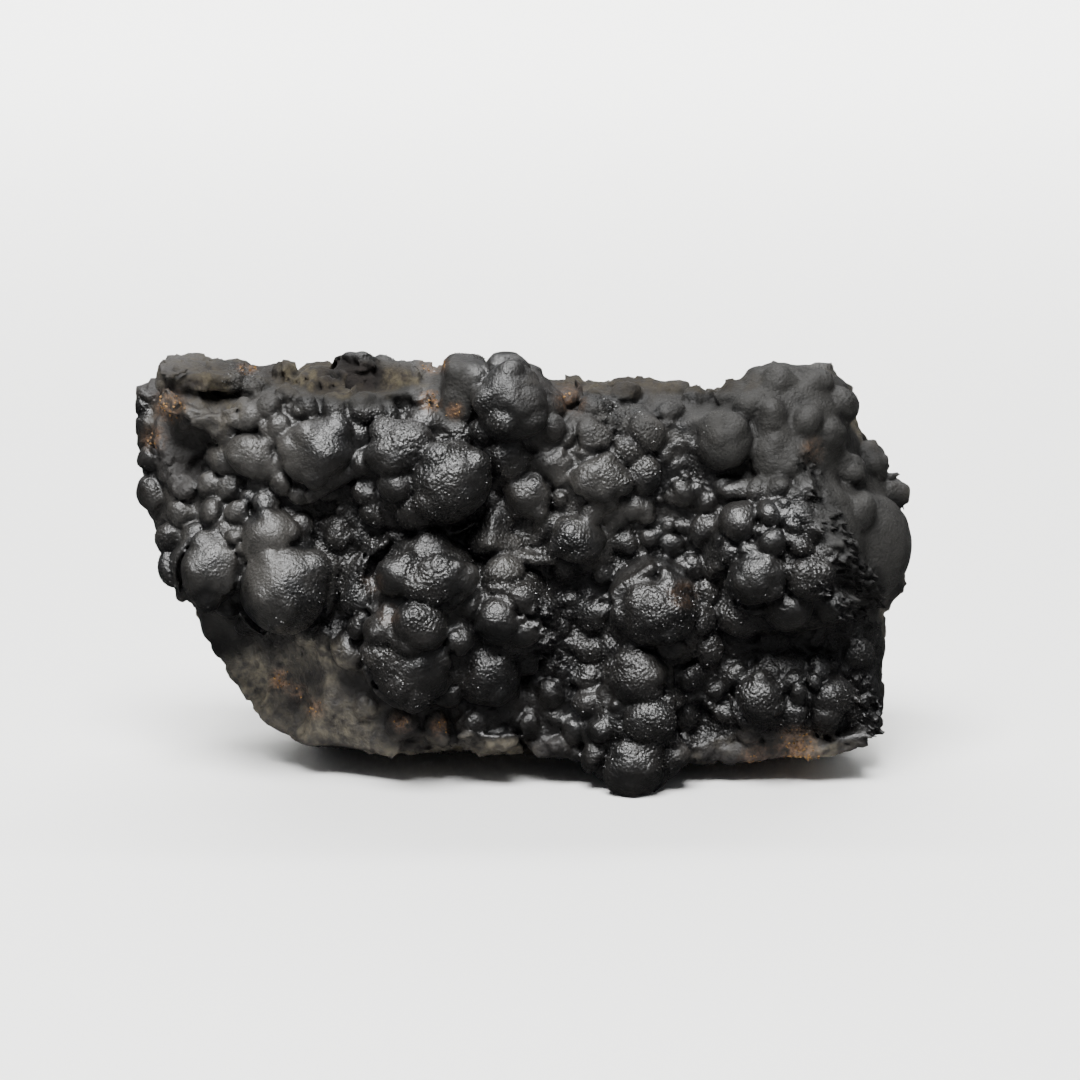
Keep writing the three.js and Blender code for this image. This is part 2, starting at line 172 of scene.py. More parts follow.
SECOND_LOBES = [
    [-12.5, 53, 6, 1.0], [-22, 52, 2.7, 0.8], [-25.5, 47.6, 2.3, 0.7], [-18.6, 47.6, 3.2, 0.7],
    [-26.6, 55.6, 3.2, 0.7], [-11.2, 60.6, 2.8, 0.7],
]
CROWN_LOBES = [
    [-2, 65.6, 5.7, 0.8], [-6.4, 66.4, 2.4, 1.5], [-0.2, 67, 2.6, 1.8], [-3, 70.2, 3.6, 0.4],
    [-2.5, 57, 3.8, 0.7], [0.5, 50.8, 4, 0.9],
]
LEADING_LOBES = [
    [-16.5, 36.6, 7.4, 0.5], [-21.3, 36.8, 3.5, 1.75], [-14.3, 36.4, 4.1, 1.6],
    [-12.4, 33.8, 2.1, 1.8],
    [-16.6, 33.6, 2.1, 1.8], [-27.2, 33.4, 3, 0.6], [-22.8, 28, 3.9, 0.8], [-17.4, 28.2, 3.8, 1.3],
    [-19, 22.4, 6.3, 0.6], [-29, 24.4, 3.4, 0.6], [-9, 31.8, 2.6, 0.8], [-3.4, 36.8, 3.4, 0.8],
    [-0.8, 33.2, 3.4, 0.8], [-4.4, 29.6, 3.6, 0.9], [0, 28, 2.8, 0.8], [-6, 20.6, 5, 0.9],
    [0.4, 22.6, 2.4, 0.6], [4.8, 17.6, 2.8, 0.6], [0.8, 12.6, 3, 0.6], [-26.2, 39.4, 2.8, 0.5],
    [-11.2, 25.8, 2.7, 0.7], [-20.6, 12.6, 2.8, 0.5], [-14.4, 11.8, 3, 0.5],
    [-8.2, 12.2, 2.6, 0.5],
    [-3.8, 10.4, 2.4, 0.5],
]
MIDDLE_LOBES = [
    [7, 66, 2.9, 0.7], [12.3, 64.6, 3, 0.7], [11.4, 60, 2.9, 0.7], [20.4, 61, 3.2, 0.8],
    [24.4, 64, 2.5, 0.5], [20, 53.8, 3.4, 0.8], [27, 51, 3.2, 0.6], [11.4, 47.6, 2.2, 0.8],
    [16, 47.6, 2.2, 0.8], [20.4, 47.6, 2.2, 0.8], [9, 43, 3.9, 0.9], [22, 31, 5.4, 0.9],
    [17.4, 30.6, 2.6, 1.4], [12.4, 31, 3.5, 0.7], [19.3, 20, 4.3, 1.2], [24.4, 25, 2.2, 0.8],
    [27.6, 20.6, 3, 0.7], [12.6, 36.8, 2.5, 0.5], [6.6, 38.6, 2.4, 0.5],
]
LOW_LOBES = [
    [13.4, 11.4, 2.3, 0.7], [10.6, 20, 2.4, 0.6], [21, 12.8, 3.7, 0.8], [18.3, 5.2, 4.5, 0.9],
    [12, 6.6, 2.4, 0.5], [39.8, 16.2, 3.9, 1.1], [45.2, 18.6, 2.2, 0.7], [51, 16.4, 3.7, 0.8],
    [50.4, 12.6, 2.4, 0.8], [34, 14, 2.6, 0.5], [45.4, 13.4, 2.4, 0.6],
]
# The large satin lobe is joined last of all, so that its edge stays crisp.
SATIN_BALL = [[33.7, 59.5, 5.1, 1.0]]
SATIN_LOBES = [
    [42.8, 69.2, 2.8, 0.4], [48.6, 69.2, 2.8, 0.4], [42, 63.4, 2.8, 0.4],
    [43, 56.6, 4.4, 0.5], [51.6, 60.6, 2.6, 0.5], [54, 55, 2.8, 0.5],
]
RIDGE_LOBES = [
    [34.5, 51.2, 2.5, 0.8], [38.8, 51, 2.1, 0.7], [36.2, 45.8, 3.2, 0.9], [41.6, 47, 2.4, 0.9],
    [46.4, 46.6, 2.4, 0.8], [42, 42.6, 2.3, 1.0], [35, 40.6, 2.2, 0.7], [46.4, 42, 2.2, 0.8],
    [39.6, 37, 4.4, 0.8], [47.6, 37, 3.9, 0.8], [44.6, 31.6, 3.5, 0.7], [52, 32.8, 3.2, 0.6],
    [51.6, 41.4, 2.6, 0.6], [30.6, 34, 3, 0.5],
]

# Long lobes: [u, v, half length, half height, turn in degrees, how far proud in radii].
OVAL_LOBES = [
    [-34.8, 57.8, 6.8, 5.6, 5, 0.9], [-20.8, 58, 6.4, 4.8, 28, 0.8], [5, 55.2, 4.8, 3, 10, 0.7],
    [12.7, 52.8, 5.2, 3.7, -4, 0.9], [10.8, 25, 4, 2.3, 0, 0.7], [16, 47.8, 6.6, 2.1, 0, 0.8],
    [37, 51.2, 4.6, 2.1, 2, 0.8], [45.4, 50.6, 4, 1.8, -4, 0.8], [44, 46.8, 4.6, 2, -3, 0.9],
    [44, 43, 5, 1.7, 0, 0.8], [-2.6, 34.8, 3.8, 1.3, 4, 1.7], [-2.4, 32.3, 3.8, 1.2, 0, 1.9],
    [-2.6, 29.9, 3.4, 1.1, -3, 2.1], [13.4, 33.6, 3.4, 1.2, 20, 1.6],
    [36.4, 29.6, 4.4, 1.8, -14, 0.6],
]

# Crystals that end in a point: [u, v, radius, turn in degrees].
PEAKS = [
    [-16, 41.6, 2.4, 0], [41.4, 13, 2.4, 15], [-52.6, 56.6, 2.4, 30],
]

# A broad point with plane sides, the hull of its corners: [u, v, y from the rock behind it].
POINT_FOOT = (-5.4, 43.5)
POINT = [
    [-4, 50.8, 0.6], [-9.8, 42.8, -1.4], [-8.8, 40.4, -2.2], [-1.2, 40.6, -2.2], [-0.4, 42.6, -1],
    [-5.8, 41.6, -4.8], [-5, 47, 7], [-8, 40, 5], [-1, 40, 5],
]

# Slabs and ledges: [u, v, y, half length, half height, half depth, turn in degrees].
SLABS = [
    [-10.4, 68.4, 19, 4, 5.4, 8, -10], [-54.4, 70.4, 25, 8, 2.2, 8, -2],
    [-55.4, 65.4, 21, 6.4, 1.6, 6, -24], [45, 9.6, 18, 14, 1.9, 8, 6],
    [-31.6, 53.2, 13, 6.4, 1.4, 4, 28],
    [2, 40.6, 13.4, 4, 0.9, 5, -8], [18, 36.6, 9.4, 5, 1.2, 4, 34],
    [25.2, 36.8, 9.4, 3.4, 1.2, 4, -34],
]


# Combs of needles that stand out of the face, by the patch each covers on the sheet:
# [first u, v, last u, v, half width of the strip, how many, length].
COMBS = [
    [2.2, 32, 4.4, 18.5, 1.8, 120, 2.8], [49.5, 47.5, 58.5, 31.5, 2.6, 240, 3.2],
    [46, 57.5, 50.5, 47.5, 1.6, 70, 2.4], [56.2, 20.5, 58.2, 10, 1.8, 110, 2.6],
    [49, 36, 57, 28, 2.2, 80, 2.8],
]
NEEDLE_WAY = (0.72, -0.68, -0.12)
NEEDLE_RADIUS = 0.36

# Smaller lobes between the large ones, in the same four numbers.
FINE_LOBES = [
    # left edge and the left cluster
    [-64.5, 62.5, 1.6, 0.5], [-63.8, 65, 1.8, 0.5], [-63.2, 62.8, 2, 0.4], [-62.4, 67, 2.2, 0.4],
    [-62.4, 56.4, 2.1, 0.4], [-61.6, 50.6, 2.4, 0.4], [-59, 43.2, 2.2, 0.5], [-55, 43.6, 2.2, 0.6],
    [-56.2, 51.8, 2, 0.5], [-52.4, 52.4, 2.3, 0.6], [-48.7, 51.4, 2.1, 0.7],
    [-43.6, 48.6, 2.3, 0.7],
    [-37.6, 51.4, 2.2, 0.7], [-37.2, 45.4, 2.2, 0.5], [-33, 38.6, 2.4, 0.4],
    [-48.5, 43.2, 1.2, 0.7],
    [-49, 38, 1.4, 0.9], [-49, 35.4, 1.6, 0.9], [-46.4, 49.6, 1.7, 0.7], [-59, 38, 2.2, 0.4],
    # top left
    [-39.8, 66.8, 1.5, 1.1], [-46.2, 63, 2, 0.7], [-49.4, 61, 2, 0.6], [-41.4, 61.8, 1.9, 0.6],
    [-43.6, 61.4, 1.4, 0.7], [-37.8, 64, 1.4, 0.7], [-36.6, 64.6, 2, 0.6], [-47.8, 65.2, 1.6, 0.6],
    [-44.4, 68.6, 1.9, 0.5], [-50, 56.8, 2.2, 0.5], [-40.4, 70, 2.2, 0.4], [-24, 71, 2.2, 0.4],
    [-51.4, 70.4, 2.2, 0.3], [-23.4, 63.6, 2.2, 0.5], [-27.6, 60.4, 2.6, 0.6],
    [-30.2, 57, 2.2, 0.4],
    # second cluster and crown
    [-16.4, 62.4, 2.4, 0.7], [-13.6, 61.6, 1.6, 0.8], [-26.6, 51, 2.2, 0.7],
    [-6.6, 56.6, 2.4, 0.6],
    [-21, 43.4, 2.3, 0.5], [-13.8, 44.6, 2.3, 0.5],
    [-3, 63.2, 2.2, 1.7], [-6.4, 61.4, 2, 0.5], [4.4, 61.6, 2.2, 0.5], [-3.4, 68.4, 1.6, 1.6],
    # leading cluster
    [-20.4, 24.2, 1.4, 1.2], [-5.8, 32.6, 1.4, 0.9], [-1.4, 17, 1, 0.8], [-12.8, 17.6, 2.3, 0.5],
    [-26, 15.2, 2.4, 0.4], [-26.6, 28.6, 2.2, 0.4], [-24.6, 31, 1.3, 0.8], [6.4, 28.4, 2, 0.4],
    [7.8, 31.3, 1.4, 0.7], [4, 45.4, 2.2, 0.6], [2.4, 43.4, 1.2, 0.8],
    # middle
    [7.2, 60, 2.4, 0.5], [17, 58, 2.3, 0.8], [18.4, 60.6, 1.4, 0.8], [17.6, 66.6, 2.3, 0.4],
    [29, 66.6, 2.4, 0.4], [6.2, 50.2, 1.3, 0.8], [31, 49, 2.2, 0.6], [30.3, 44.4, 2.6, 0.6],
    [16.6, 42.6, 2.4, 0.5], [21.4, 43.6, 2, 0.5], [25, 42.4, 2.2, 0.5], [26.2, 40.4, 1, 0.7],
    [28.6, 38.6, 2.3, 0.6], [7.6, 33.4, 2.3, 0.5], [29.6, 29.6, 2.3, 0.6], [30.4, 24.6, 2.5, 0.5],
    [27.6, 53.2, 1.4, 0.9], [25, 50.4, 1.4, 0.9], [29, 51.2, 1.3, 0.9], [36.4, 30.4, 2.9, 0.5],
    [11, 15.4, 2.2, 0.7], [11, 18.2, 1.8, 0.7], [8.8, 11.4, 2.2, 0.7], [24, 15.8, 1.3, 0.8],
    [26.8, 14.4, 2.8, 0.6], [24.6, 6.6, 2.3, 0.6], [6, 8.8, 2.2, 0.5],
    # right
    [35.2, 67.4, 2.4, 0.4], [47, 62.8, 2.6, 0.4], [52.8, 65.6, 2.5, 0.4], [58.4, 56, 2.4, 0.4],
    [38.6, 64.6, 2.4, 0.4], [61.4, 51, 2.4, 0.4], [43, 51, 2.1, 0.7], [47.4, 51, 2.1, 0.6],
    [41.4, 26.6, 2.6, 0.4], [48, 26.6, 2.6, 0.4], [56.4, 47.4, 2.6, 0.4], [55.6, 24, 2.6, 0.4],
    [43.6, 48.6, 1.7, 0.9], [46.6, 48.6, 1.5, 0.9], [45.4, 45.2, 1.7, 0.9], [48.4, 44.8, 1.6, 0.9],
    [37.6, 41, 1.5, 0.9], [34.4, 42.6, 1.2, 0.8], [39.8, 44.2, 1.3, 0.8], [38, 10.6, 2.1, 0.4],
    [35, 20.5, 2.4, 0.5], [49.2, 20.6, 2.2, 0.6], [46.2, 17, 1.4, 1.2], [48.6, 19, 1.5, 1.1],
    [51.4, 21.6, 1.2, 0.7], [53.4, 20.6, 1.2, 0.8], [50.8, 14.4, 2.3, 1.1],
]

# Thin shells that stand off round a lobe like a rim:
# [u, v, radius, how far proud in radii, thickness, first and last angle on the sheet].
SHELLS = [
    [-40.2, 35, 8.7, 0.55, 0.8, -60, 60], [-40.2, 34, 8.2, 0.6, 0.7, 190, 262],
    [-52.2, 38, 6.9, 0.55, 0.8, 120, 215], [-34.8, 57.4, 8, 0.5, 0.8, -105, -12],
    [-17.5, 34.5, 10.6, 0.4, 0.9, 120, 215], [-17.5, 34.5, 12, 0.3, 0.9, 130, 190],
    [-19, 22.4, 7.9, 0.5, 0.8, 190, 300], [19.3, 20, 5.9, 0.75, 0.8, 0, 360],
    [22, 31, 7, 0.6, 0.8, 30, 160], [22, 31.4, 8.4, 0.5, 0.8, 50, 150],
    [-2.5, 57.4, 4.9, 0.6, 0.7, 180, 360], [10.4, 59.4, 4.6, 0.6, 0.7, 185, 330],
    [-2, 65.6, 6.9, 0.5, 0.8, 200, 340], [36, 27, 6, 0.4, 0.8, 40, 140],
    [39.6, 37, 6, 0.55, 0.8, 190, 330], [39.8, 16.2, 5.2, 0.6, 0.8, 170, 300],
    [-12.5, 52, 7.6, 0.5, 0.8, 210, 310], [18.3, 5.2, 5.6, 0.55, 0.7, 60, 150],
]

# Bare broken rock on the front, by its middle and half widths: [u, v, half length, half height].
BARE_PATCHES = [
    [-38, 14.4, 15, 11.6], [-27, 10, 12, 5.4], [-56, 66, 7, 9], [-57, 57.5, 5, 7],
    [-30, 70.4, 14, 3],
    [43, 7, 16, 3.2], [-58, 70.6, 9, 4], [-6, 8, 14, 2.4], [20, 70, 18, 2.8],
]

# Breaks that are nearly plane, in the same four numbers.
PLAIN_BREAKS = [[-37, 15, 16, 12], [43, 7, 15, 2.6]]

# Patches of the skin, by middle and half widths: satin, glossy and even, and filmed with dust.
SATIN_PATCHES = [
    [43, 63, 14, 12], [57, 50, 9, 12], [60, 38, 7, 11], [-12, 68, 4, 6], [-27, 69, 9, 4],
]
SMOOTH_PATCHES = [[-48, 44, 13, 16], [-36, 58, 9, 8]]
DUSTY_PATCHES = [
    [-47, 57, 13, 12], [-52, 45, 10, 9], [-44, 39, 13, 11], [20, 61, 10, 5], [-2, 41, 8, 4],
    [12, 50, 14, 8], [9, 43, 5, 4],
]
# Ochre and rust stains: [u, v, radius, strength].
STAINS = [
    [-40.6, 19.4, 1.8, 0.9], [-38, 17.4, 1.5, 0.5], [-35, 14.6, 1.6, 0.5], [-20.8, 12.2, 1.6, 0.6],
    [-14.2, 11.5, 1.7, 0.55], [46, 7.5, 3.4, 0.8], [39, 6.4, 2.4, 0.4], [-15.7, 66.2, 1.6, 0.9],
    [-15.4, 73, 2, 0.6], [-11.4, 64.6, 1.4, 0.6], [7.6, 66.6, 2.4, 0.25], [-46.4, 72.6, 1.6, 0.8],
    [-59.6, 65.6, 2.6, 0.5], [-62, 60, 2, 0.4], [48.4, 58, 2, 0.25],
    [-25.6, 35.6, 1.8, 0.2], [-23, 30.4, 1.7, 0.2], [26.6, 33.6, 2.2, 0.2],
]

# Breaks painted nearly black, by middle and half widths; along the top edge this is painted shade.
DARKENED_BREAKS = [[-56, 57.5, 7, 9], [20, 70, 19, 4], [-47, 71, 6, 3]]
# Skin rubbed dull along the top edge, in the same four numbers.
DULL_PATCHES = [[17, 67.5, 20, 7], [-38, 70, 22, 5]]

STEP = 0.4
BAND = 2.0
GRID_LOW = np.array([-69.0, -4.0, -2.4])
GRID_CELLS = np.array([346, 160, 196])
AXES = [low + STEP * np.arange(count) for low, count in zip(GRID_LOW, GRID_CELLS)]
FAR = 12.0


def corner_shares(part):
    """The eight corners of a cell, each with its share at points part of the way across."""
    fx, fy, fz = part.T
    for dx, wx in ((0, 1 - fx), (1, fx)):
        for dy, wy in ((0, 1 - fy), (1, fy)):
            for dz, wz in ((0, 1 - fz), (1, fz)):
                yield (dx, dy, dz), wx * wy * wz


def grid_sample(grid, points):
    """The grid's values at points, read linearly between the cells."""
    place_in = (points - GRID_LOW) / STEP
    place_in = np.clip(place_in, 0, GRID_CELLS - 1.001)
    cell = place_in.astype(int)
    x, y, z = cell.T
    total = 0
    for (dx, dy, dz), share in corner_shares(place_in - cell):
        total = total + share * grid[x + dx, y + dy, z + dz]
    return total


def window(middle, reach):
    """The cells within reach of a point, and how far each lies from it along x, y and z."""
    cells, away = [], []
    for axis, centre, half in zip(AXES, middle, np.broadcast_to(reach, 3)):
        first, last = np.searchsorted(axis, [centre - half, centre + half])
        cells.append(slice(first, last))
        away.append(axis[first:last] - centre)
    return tuple(cells), np.meshgrid(*away, indexing="ij", sparse=True)


def join(a, b, round_over):
    """The two shapes together, with the crease between them filled to a small radius."""
    fill = np.maximum(round_over - np.abs(a - b), 0)
    return np.minimum(a, b) - fill * fill / (4 * round_over)


# The groove between lobes, and between its middle and where it runs out.
GROOVE_DEPTH = 0.42
GROOVE_HALF = 0.8


def join_grooved(a, b):
    """The two shapes together, with a sharp groove along the line where they meet."""
    near = np.maximum(1 - np.abs(a - b) / GROOVE_HALF, 0)
    return np.minimum(a, b) + GROOVE_DEPTH * near * near


# How far creases on the broken rock are filled.
CREASE = 0.3


def ball(middle, radius):
    """The cells round a ball, and how far each is outside it."""
    cells, (dx, dy, dz) = window(middle, radius + BAND)
    return cells, np.sqrt(dx * dx + dy * dy + dz * dz) - radius


def add_ball(field, middle, radius):
    cells, distance = ball(middle, radius)
    field[cells] = join(field[cells], distance, CREASE)


def cut_ball(field, middle, radius):
    cells, distance = ball(middle, radius)
    field[cells] = np.maximum(field[cells], -distance)


def hull_planes(corners):
    """Outward unit normals and offsets of the faces of the corners' convex hull."""
    mesh = bmesh.new()
    for corner in corners:
        mesh.verts.new(corner)
    bmesh.ops.convex_hull(mesh, input=mesh.verts)
    bmesh.ops.recalc_face_normals(mesh, faces=mesh.faces)
    centre = np.mean(corners, axis=0)
    planes = set()
    for face in mesh.faces:
        normal = np.array(face.normal)
        offset = float(normal @ np.array(face.verts[0].co))
        if normal @ centre > offset:
            normal, offset = -normal, -offset
        planes.add((*np.round(normal, 4), round(offset, 2)))
    mesh.free()
    return np.array(sorted(planes))


def add_hull(field, corners):
    """Joins the convex hull of the corners."""
    middle = (corners.min(axis=0) + corners.max(axis=0)) / 2
    reach = (corners.max(axis=0) - corners.min(axis=0)) / 2 + BAND
    low = np.maximum(((middle - reach - GRID_LOW) / STEP).astype(int), 0)
    high = np.minimum(((middle + reach - GRID_LOW) / STEP).astype(int) + 1, GRID_CELLS)
    axes = [axis[a:b] for axis, a, b in zip(AXES, low, high)]
    x, y, z = np.meshgrid(*[a.astype(np.float32) for a in axes], indexing="ij", sparse=True)
    distance = None
    for a, b, c, offset in hull_planes(corners):
        plane = (np.float32(a) * x + np.float32(b) * y) + (np.float32(c) * z - np.float32(offset))
        distance = plane if distance is None else np.maximum(distance, plane, out=distance)
    cells = tuple(slice(a, b) for a, b in zip(low, high))
    field[cells] = np.minimum(field[cells], distance)


def places(rows):
    rows = np.array(rows, dtype=float)
    return place(rows[:, 0], rows[:, 1], rows[:, 2])


# Where a lobe sits whose line of sight misses the rock.
RIM_DEPTH = 26.0


def face_depth(field, u, v):
    """How far back the line of sight at each (u, v) meets the field, and whether it does."""
    u, v = np.asarray(u, float), np.asarray(v, float)
    steps = np.arange(-3.0, 56.0, STEP)
    points = place(u[:, None], v[:, None], steps[None, :])
    values = grid_sample(field, points.reshape(-1, 3)).reshape(len(u), len(steps))
    inside = values < 0
    first = np.argmax(inside, axis=1)
    hit = inside.any(axis=1)
    before = values[np.arange(len(u)), np.maximum(first - 1, 0)]
    after = values[np.arange(len(u)), first]
    part = np.where(before > after, before / np.maximum(before - after, 1e-6), 0)
    depth = steps[np.maximum(first - 1, 0)] + STEP * np.clip(part, 0, 1)
    return np.where(hit, depth, RIM_DEPTH), hit


def depth_at(field, u, v):
    return face_depth(field, [u], [v])[0][0]


def broken_rock():
    """The massive rock: blocks and breaks, less spalls, with bulges and gaps."""
    field = np.full(GRID_CELLS, FAR, dtype=np.float32)
    for block in BLOCKS:
        add_hull(field, places(block))
    for corners in BACK_BREAKS:
        middle = np.mean(corners, axis=0)
        roots = [[middle[0] + (u - middle[0]) * BREAK_ROOT_GROWTH,
                  middle[1] + (v - middle[1]) * BREAK_ROOT_GROWTH, BREAK_ROOT_DEPTH]
                 for u, v, _ in corners]
        add_hull(field, places(corners + roots))
    for u, v, y, radius in SPALLS:
        cut_ball(field, place(u, v, y), radius)
    for u, v, front, radius in BULGES:
        add_ball(field, place(u, v, front + radius), radius)
    for u, v, y, radius in GAPS:
        cut_ball(field, place(u, v, y), radius)
    return field


SATIN_FILLET = 0.15


def add_lobes(field, rock, rows, swell=SWELL, fillet=0.0):
    """Joins lobes, each a little longer or flatter than a ball, where they show on the rock."""
    rows = np.array(rows, dtype=float)
    depth, _ = face_depth(rock, rows[:, 0], rows[:, 1])
    stretch = rng.uniform(0.9, 1.1, (len(rows), 2))
    turns = rng.uniform(0, 180, len(rows))
    blended = fillet + SATIN_FILLET * patch_mask(rows[:, 0], rows[:, 1], SATIN_PATCHES)
    for row, y, (long, high), turn, fill in zip(rows, depth, stretch, turns, blended):
        u, v, radius, proud = row
        grown = radius * swell
        middle = place(u, v, y + grown * (1 - proud))
        add_oval(field, middle, (grown * long, grown * high, grown), turn, fill)


def turned(dx, dz, degrees):
    angle = math.radians(degrees)
    along = dx * math.cos(angle) + dz * math.sin(angle)
    across = dz * math.cos(angle) - dx * math.sin(angle)
    return along, across


def add_oval(field, middle, halves, degrees, round_over=0.0):
    """Joins an ellipsoid whose length is turned in the plane of the sheet, grooved or filleted."""
    long, high, deep = halves
    reach = max(long, high) + BAND
    cells, (dx, dy, dz) = window(middle, (reach, deep + BAND, reach))
    along, across = turned(dx, dz, degrees)
    scaled = np.sqrt((along / long) ** 2 + (across / high) ** 2 + (dy / deep) ** 2)
    slope = np.sqrt((along / long**2) ** 2 + (across / high**2) ** 2 + (dy / deep**2) ** 2)
    distance = scaled * (scaled - 1) / np.maximum(slope, 1e-4)
    if round_over > 0:
        field[cells] = join(field[cells], distance, round_over)
    else:
        field[cells] = join_grooved(field[cells], distance)


# Slabs are a little smaller than listed, since the domes on them add to their size.
SLAB_TRIM = 0.92


def add_slab(field, middle, halves, degrees):
    """Joins a flat slab with worn edges, turned in the plane of the sheet."""
    long, high, deep = halves
    worn = 0.6 * min(halves)
    reach = max(long, high) + BAND
    cells, (dx, dy, dz) = window(middle, (reach, deep + BAND, reach))
    along, across = turned(dx, dz, degrees)
    past = [np.abs(a) - (half - worn) for a, half in ((along, long), (across, high), (dy, deep))]
    outside = np.sqrt(sum(np.maximum(a, 0) ** 2 for a in past))
    inside = np.minimum(np.maximum(np.maximum(past[0], past[1]), past[2]), 0)
    field[cells] = join(field[cells], outside + inside - worn, CREASE)


PEAK_SLENDERNESS = 2.2
PEAK_LEAN = math.radians(58)


def add_peak(field, middle, radius, degrees):
    """Joins a five-sided point that stands up along the face and leans back."""
    height = PEAK_SLENDERNESS * radius
    cells, (dx, dy, dz) = window(middle, height + BAND)
    up = dz * math.sin(PEAK_LEAN) + dy * math.cos(PEAK_LEAN)
    out = dy * math.sin(PEAK_LEAN) - dz * math.cos(PEAK_LEAN)
    slope = math.atan2(radius, height)
    rise = up - 0.8 * height
    distance = -up - 0.3 * height
    for side in range(5):
        angle = math.radians(degrees + 72 * side)
        spoke = dx * math.cos(angle) + out * math.sin(angle)
        distance = np.maximum(distance, spoke * math.cos(slope) + rise * math.sin(slope))
    field[cells] = join(field[cells], distance, CREASE)


def add_shell(field, middle, radius, thickness, first, last):
    """Joins part of a thin round shell, between two angles and behind its middle."""
    cells, (dx, dy, dz) = window(middle, radius + BAND)
    distance = np.abs(np.sqrt(dx * dx + dy * dy + dz * dz) - radius) - thickness / 2
    distance = np.maximum(distance, -0.3 * radius - dy)
    if last - first < 360:
        centre, half = math.radians((first + last) / 2), math.radians((last - first) / 2)
        angle = np.arctan2(dz, dx) - centre
        angle = np.abs((angle + math.pi) % (2 * math.pi) - math.pi)
        flat = np.sqrt(dx * dx + dz * dz)
        distance = np.maximum(distance, flat * np.clip(angle - half, -1, 1))
    field[cells] = join(field[cells], distance, CREASE)


def add_needle(field, foot, way, length, radius):
    """Joins a pointed rod that runs from its foot along a unit way."""
    cells, (dx, dy, dz) = window(foot + way * length / 2, length / 2 + radius + 1.0)
    dx, dy, dz = (gap + way[axis] * length / 2 for axis, gap in enumerate((dx, dy, dz)))
    along = dx * way[0] + dy * way[1] + dz * way[2]
    across = np.sqrt(np.maximum(dx * dx + dy * dy + dz * dz - along * along, 0))
    distance = across - radius * np.clip(1.15 - along / length, 0.2, 1)
    distance = np.maximum(distance, np.maximum(along - length, -along - 1.5))
    field[cells] = np.minimum(field[cells], distance)


def add_combs(field):
    """Strips of needles, all pointing nearly the same way: forward and to the right."""
    for first_u, first_v, last_u, last_v, half, count, length in COMBS:
        part, side = rng.uniform(0, 1, count), rng.uniform(-half, half, count)
        u = first_u + (last_u - first_u) * part + side
        v = first_v + (last_v - first_v) * part + 0.3 * side
        depth, hit = face_depth(field, u, v)
        feet = place(u, v, depth + 0.6)
        for foot, seen in zip(feet, hit):
            way = np.array(NEEDLE_WAY) + rng.normal(0, 0.05, 3)
            way /= np.linalg.norm(way)
            if seen:
                add_needle(field, foot, way, length * rng.uniform(0.6, 1.1), NEEDLE_RADIUS)


# All that is strewn and roughened is drawn from one seed.
rng = np.random.default_rng(20)


# The noises repeat after so many of their sizes along each axis.
WAVES = 24
SEEDS = 20


def soft_noise(points, size):
    """Rolling noise from -1 to 1 whose waves are about size millimetres long."""
    lattice = rng.uniform(-1, 1, (WAVES, WAVES, WAVES))
    at = points / size
    cell = np.floor(at).astype(int)
    part = at - cell
    total = 0
    for corner, share in corner_shares(part * part * (3 - 2 * part)):
        at_corner = (cell + corner) % WAVES
        total = total + share * lattice[tuple(at_corner.T)]
    return total


def nearest_seeds(points, size):
    """The way to the nearest of many scattered seeds, in sizes, and that seed's number."""
    jitter = rng.uniform(0.1, 0.9, (SEEDS, SEEDS, SEEDS, 3)).astype(np.float32)
    at = (points / size).astype(np.float32)
    cell = np.floor(at).astype(int)
    nearest = np.full(len(points), 9.0, np.float32)
    way = np.zeros((len(points), 3), np.float32)
    number = np.zeros(len(points), int)
    for step in np.ndindex(3, 3, 3):
        near = cell + np.array(step) - 1
        index = near % SEEDS
        gap = at - near - jitter[tuple(index.T)]
        square = (gap * gap).sum(axis=1)
        closer = square < nearest
        nearest[closer] = square[closer]
        way[closer] = gap[closer]
        number[closer] = (index[closer] * (SEEDS * SEEDS, SEEDS, 1)).sum(axis=1)
    return way, number


def dome_noise(points, size):
    """Domes of about size millimetres grown against one another, creased between, up to 1."""
    way, _ = nearest_seeds(points, size)
    return 1 - (way * way).sum(axis=1) / 0.75


def chip_noise(points, size):
    """Flat chips of about size millimetres, each tilted its own way, from about -1 to 1."""
    way, number = nearest_seeds(points, size)
    tilts = rng.normal(0, 0.8, (SEEDS**3, 3))
    steps = rng.uniform(-0.45, 0.45, SEEDS**3)
    return (way * tilts[number]).sum(axis=1) + steps[number]


def patch_mask(u, v, patches, edge=0.35):
    """How far inside any of the oval patches each (u, v) is, from 0 to 1."""
    inside = np.zeros_like(u)
    for middle_u, middle_v, half_u, half_v in patches:
        out = np.sqrt(((u - middle_u) / half_u) ** 2 + ((v - middle_v) / half_v) ** 2)
        inside = np.maximum(inside, np.clip((1 + edge / 2 - out) / edge, 0, 1))
    return inside


def cells_near(field, band):
    """The cells within a band of the surface, and where they are."""
    cells = np.nonzero(np.abs(field) < band)
    return cells, np.stack([axis[i] for axis, i in zip(AXES, cells)], axis=1)


def bare_mask(points, wander):
    """Where the rock is bare: patches of the front, and everything broken behind."""
    u, v = to_sheet(points)
    front = patch_mask(u + 1.5 * wander, v - 1.2 * wander, BARE_PATCHES)
    back = np.clip((points[:, 1] - 27 + 3 * wander) / 3, 0, 1)
    return np.maximum(front, back)


def roughen(field, rock, band):
    """Domes and waves on the crust, and crumbled steps on bare rock."""
    cells, points = cells_near(field, band)
    bare = bare_mask(points, soft_noise(points, 5.0))
    relief = np.zeros(len(points))
    skin, broken = bare < 1, bare > 0
    relief[skin] += (1 - bare[skin]) * crust_relief(points[skin], rock[cells][skin])
    relief[broken] += bare[broken] * rock_relief(points[broken])
    field[cells] -= relief.astype(np.float32)


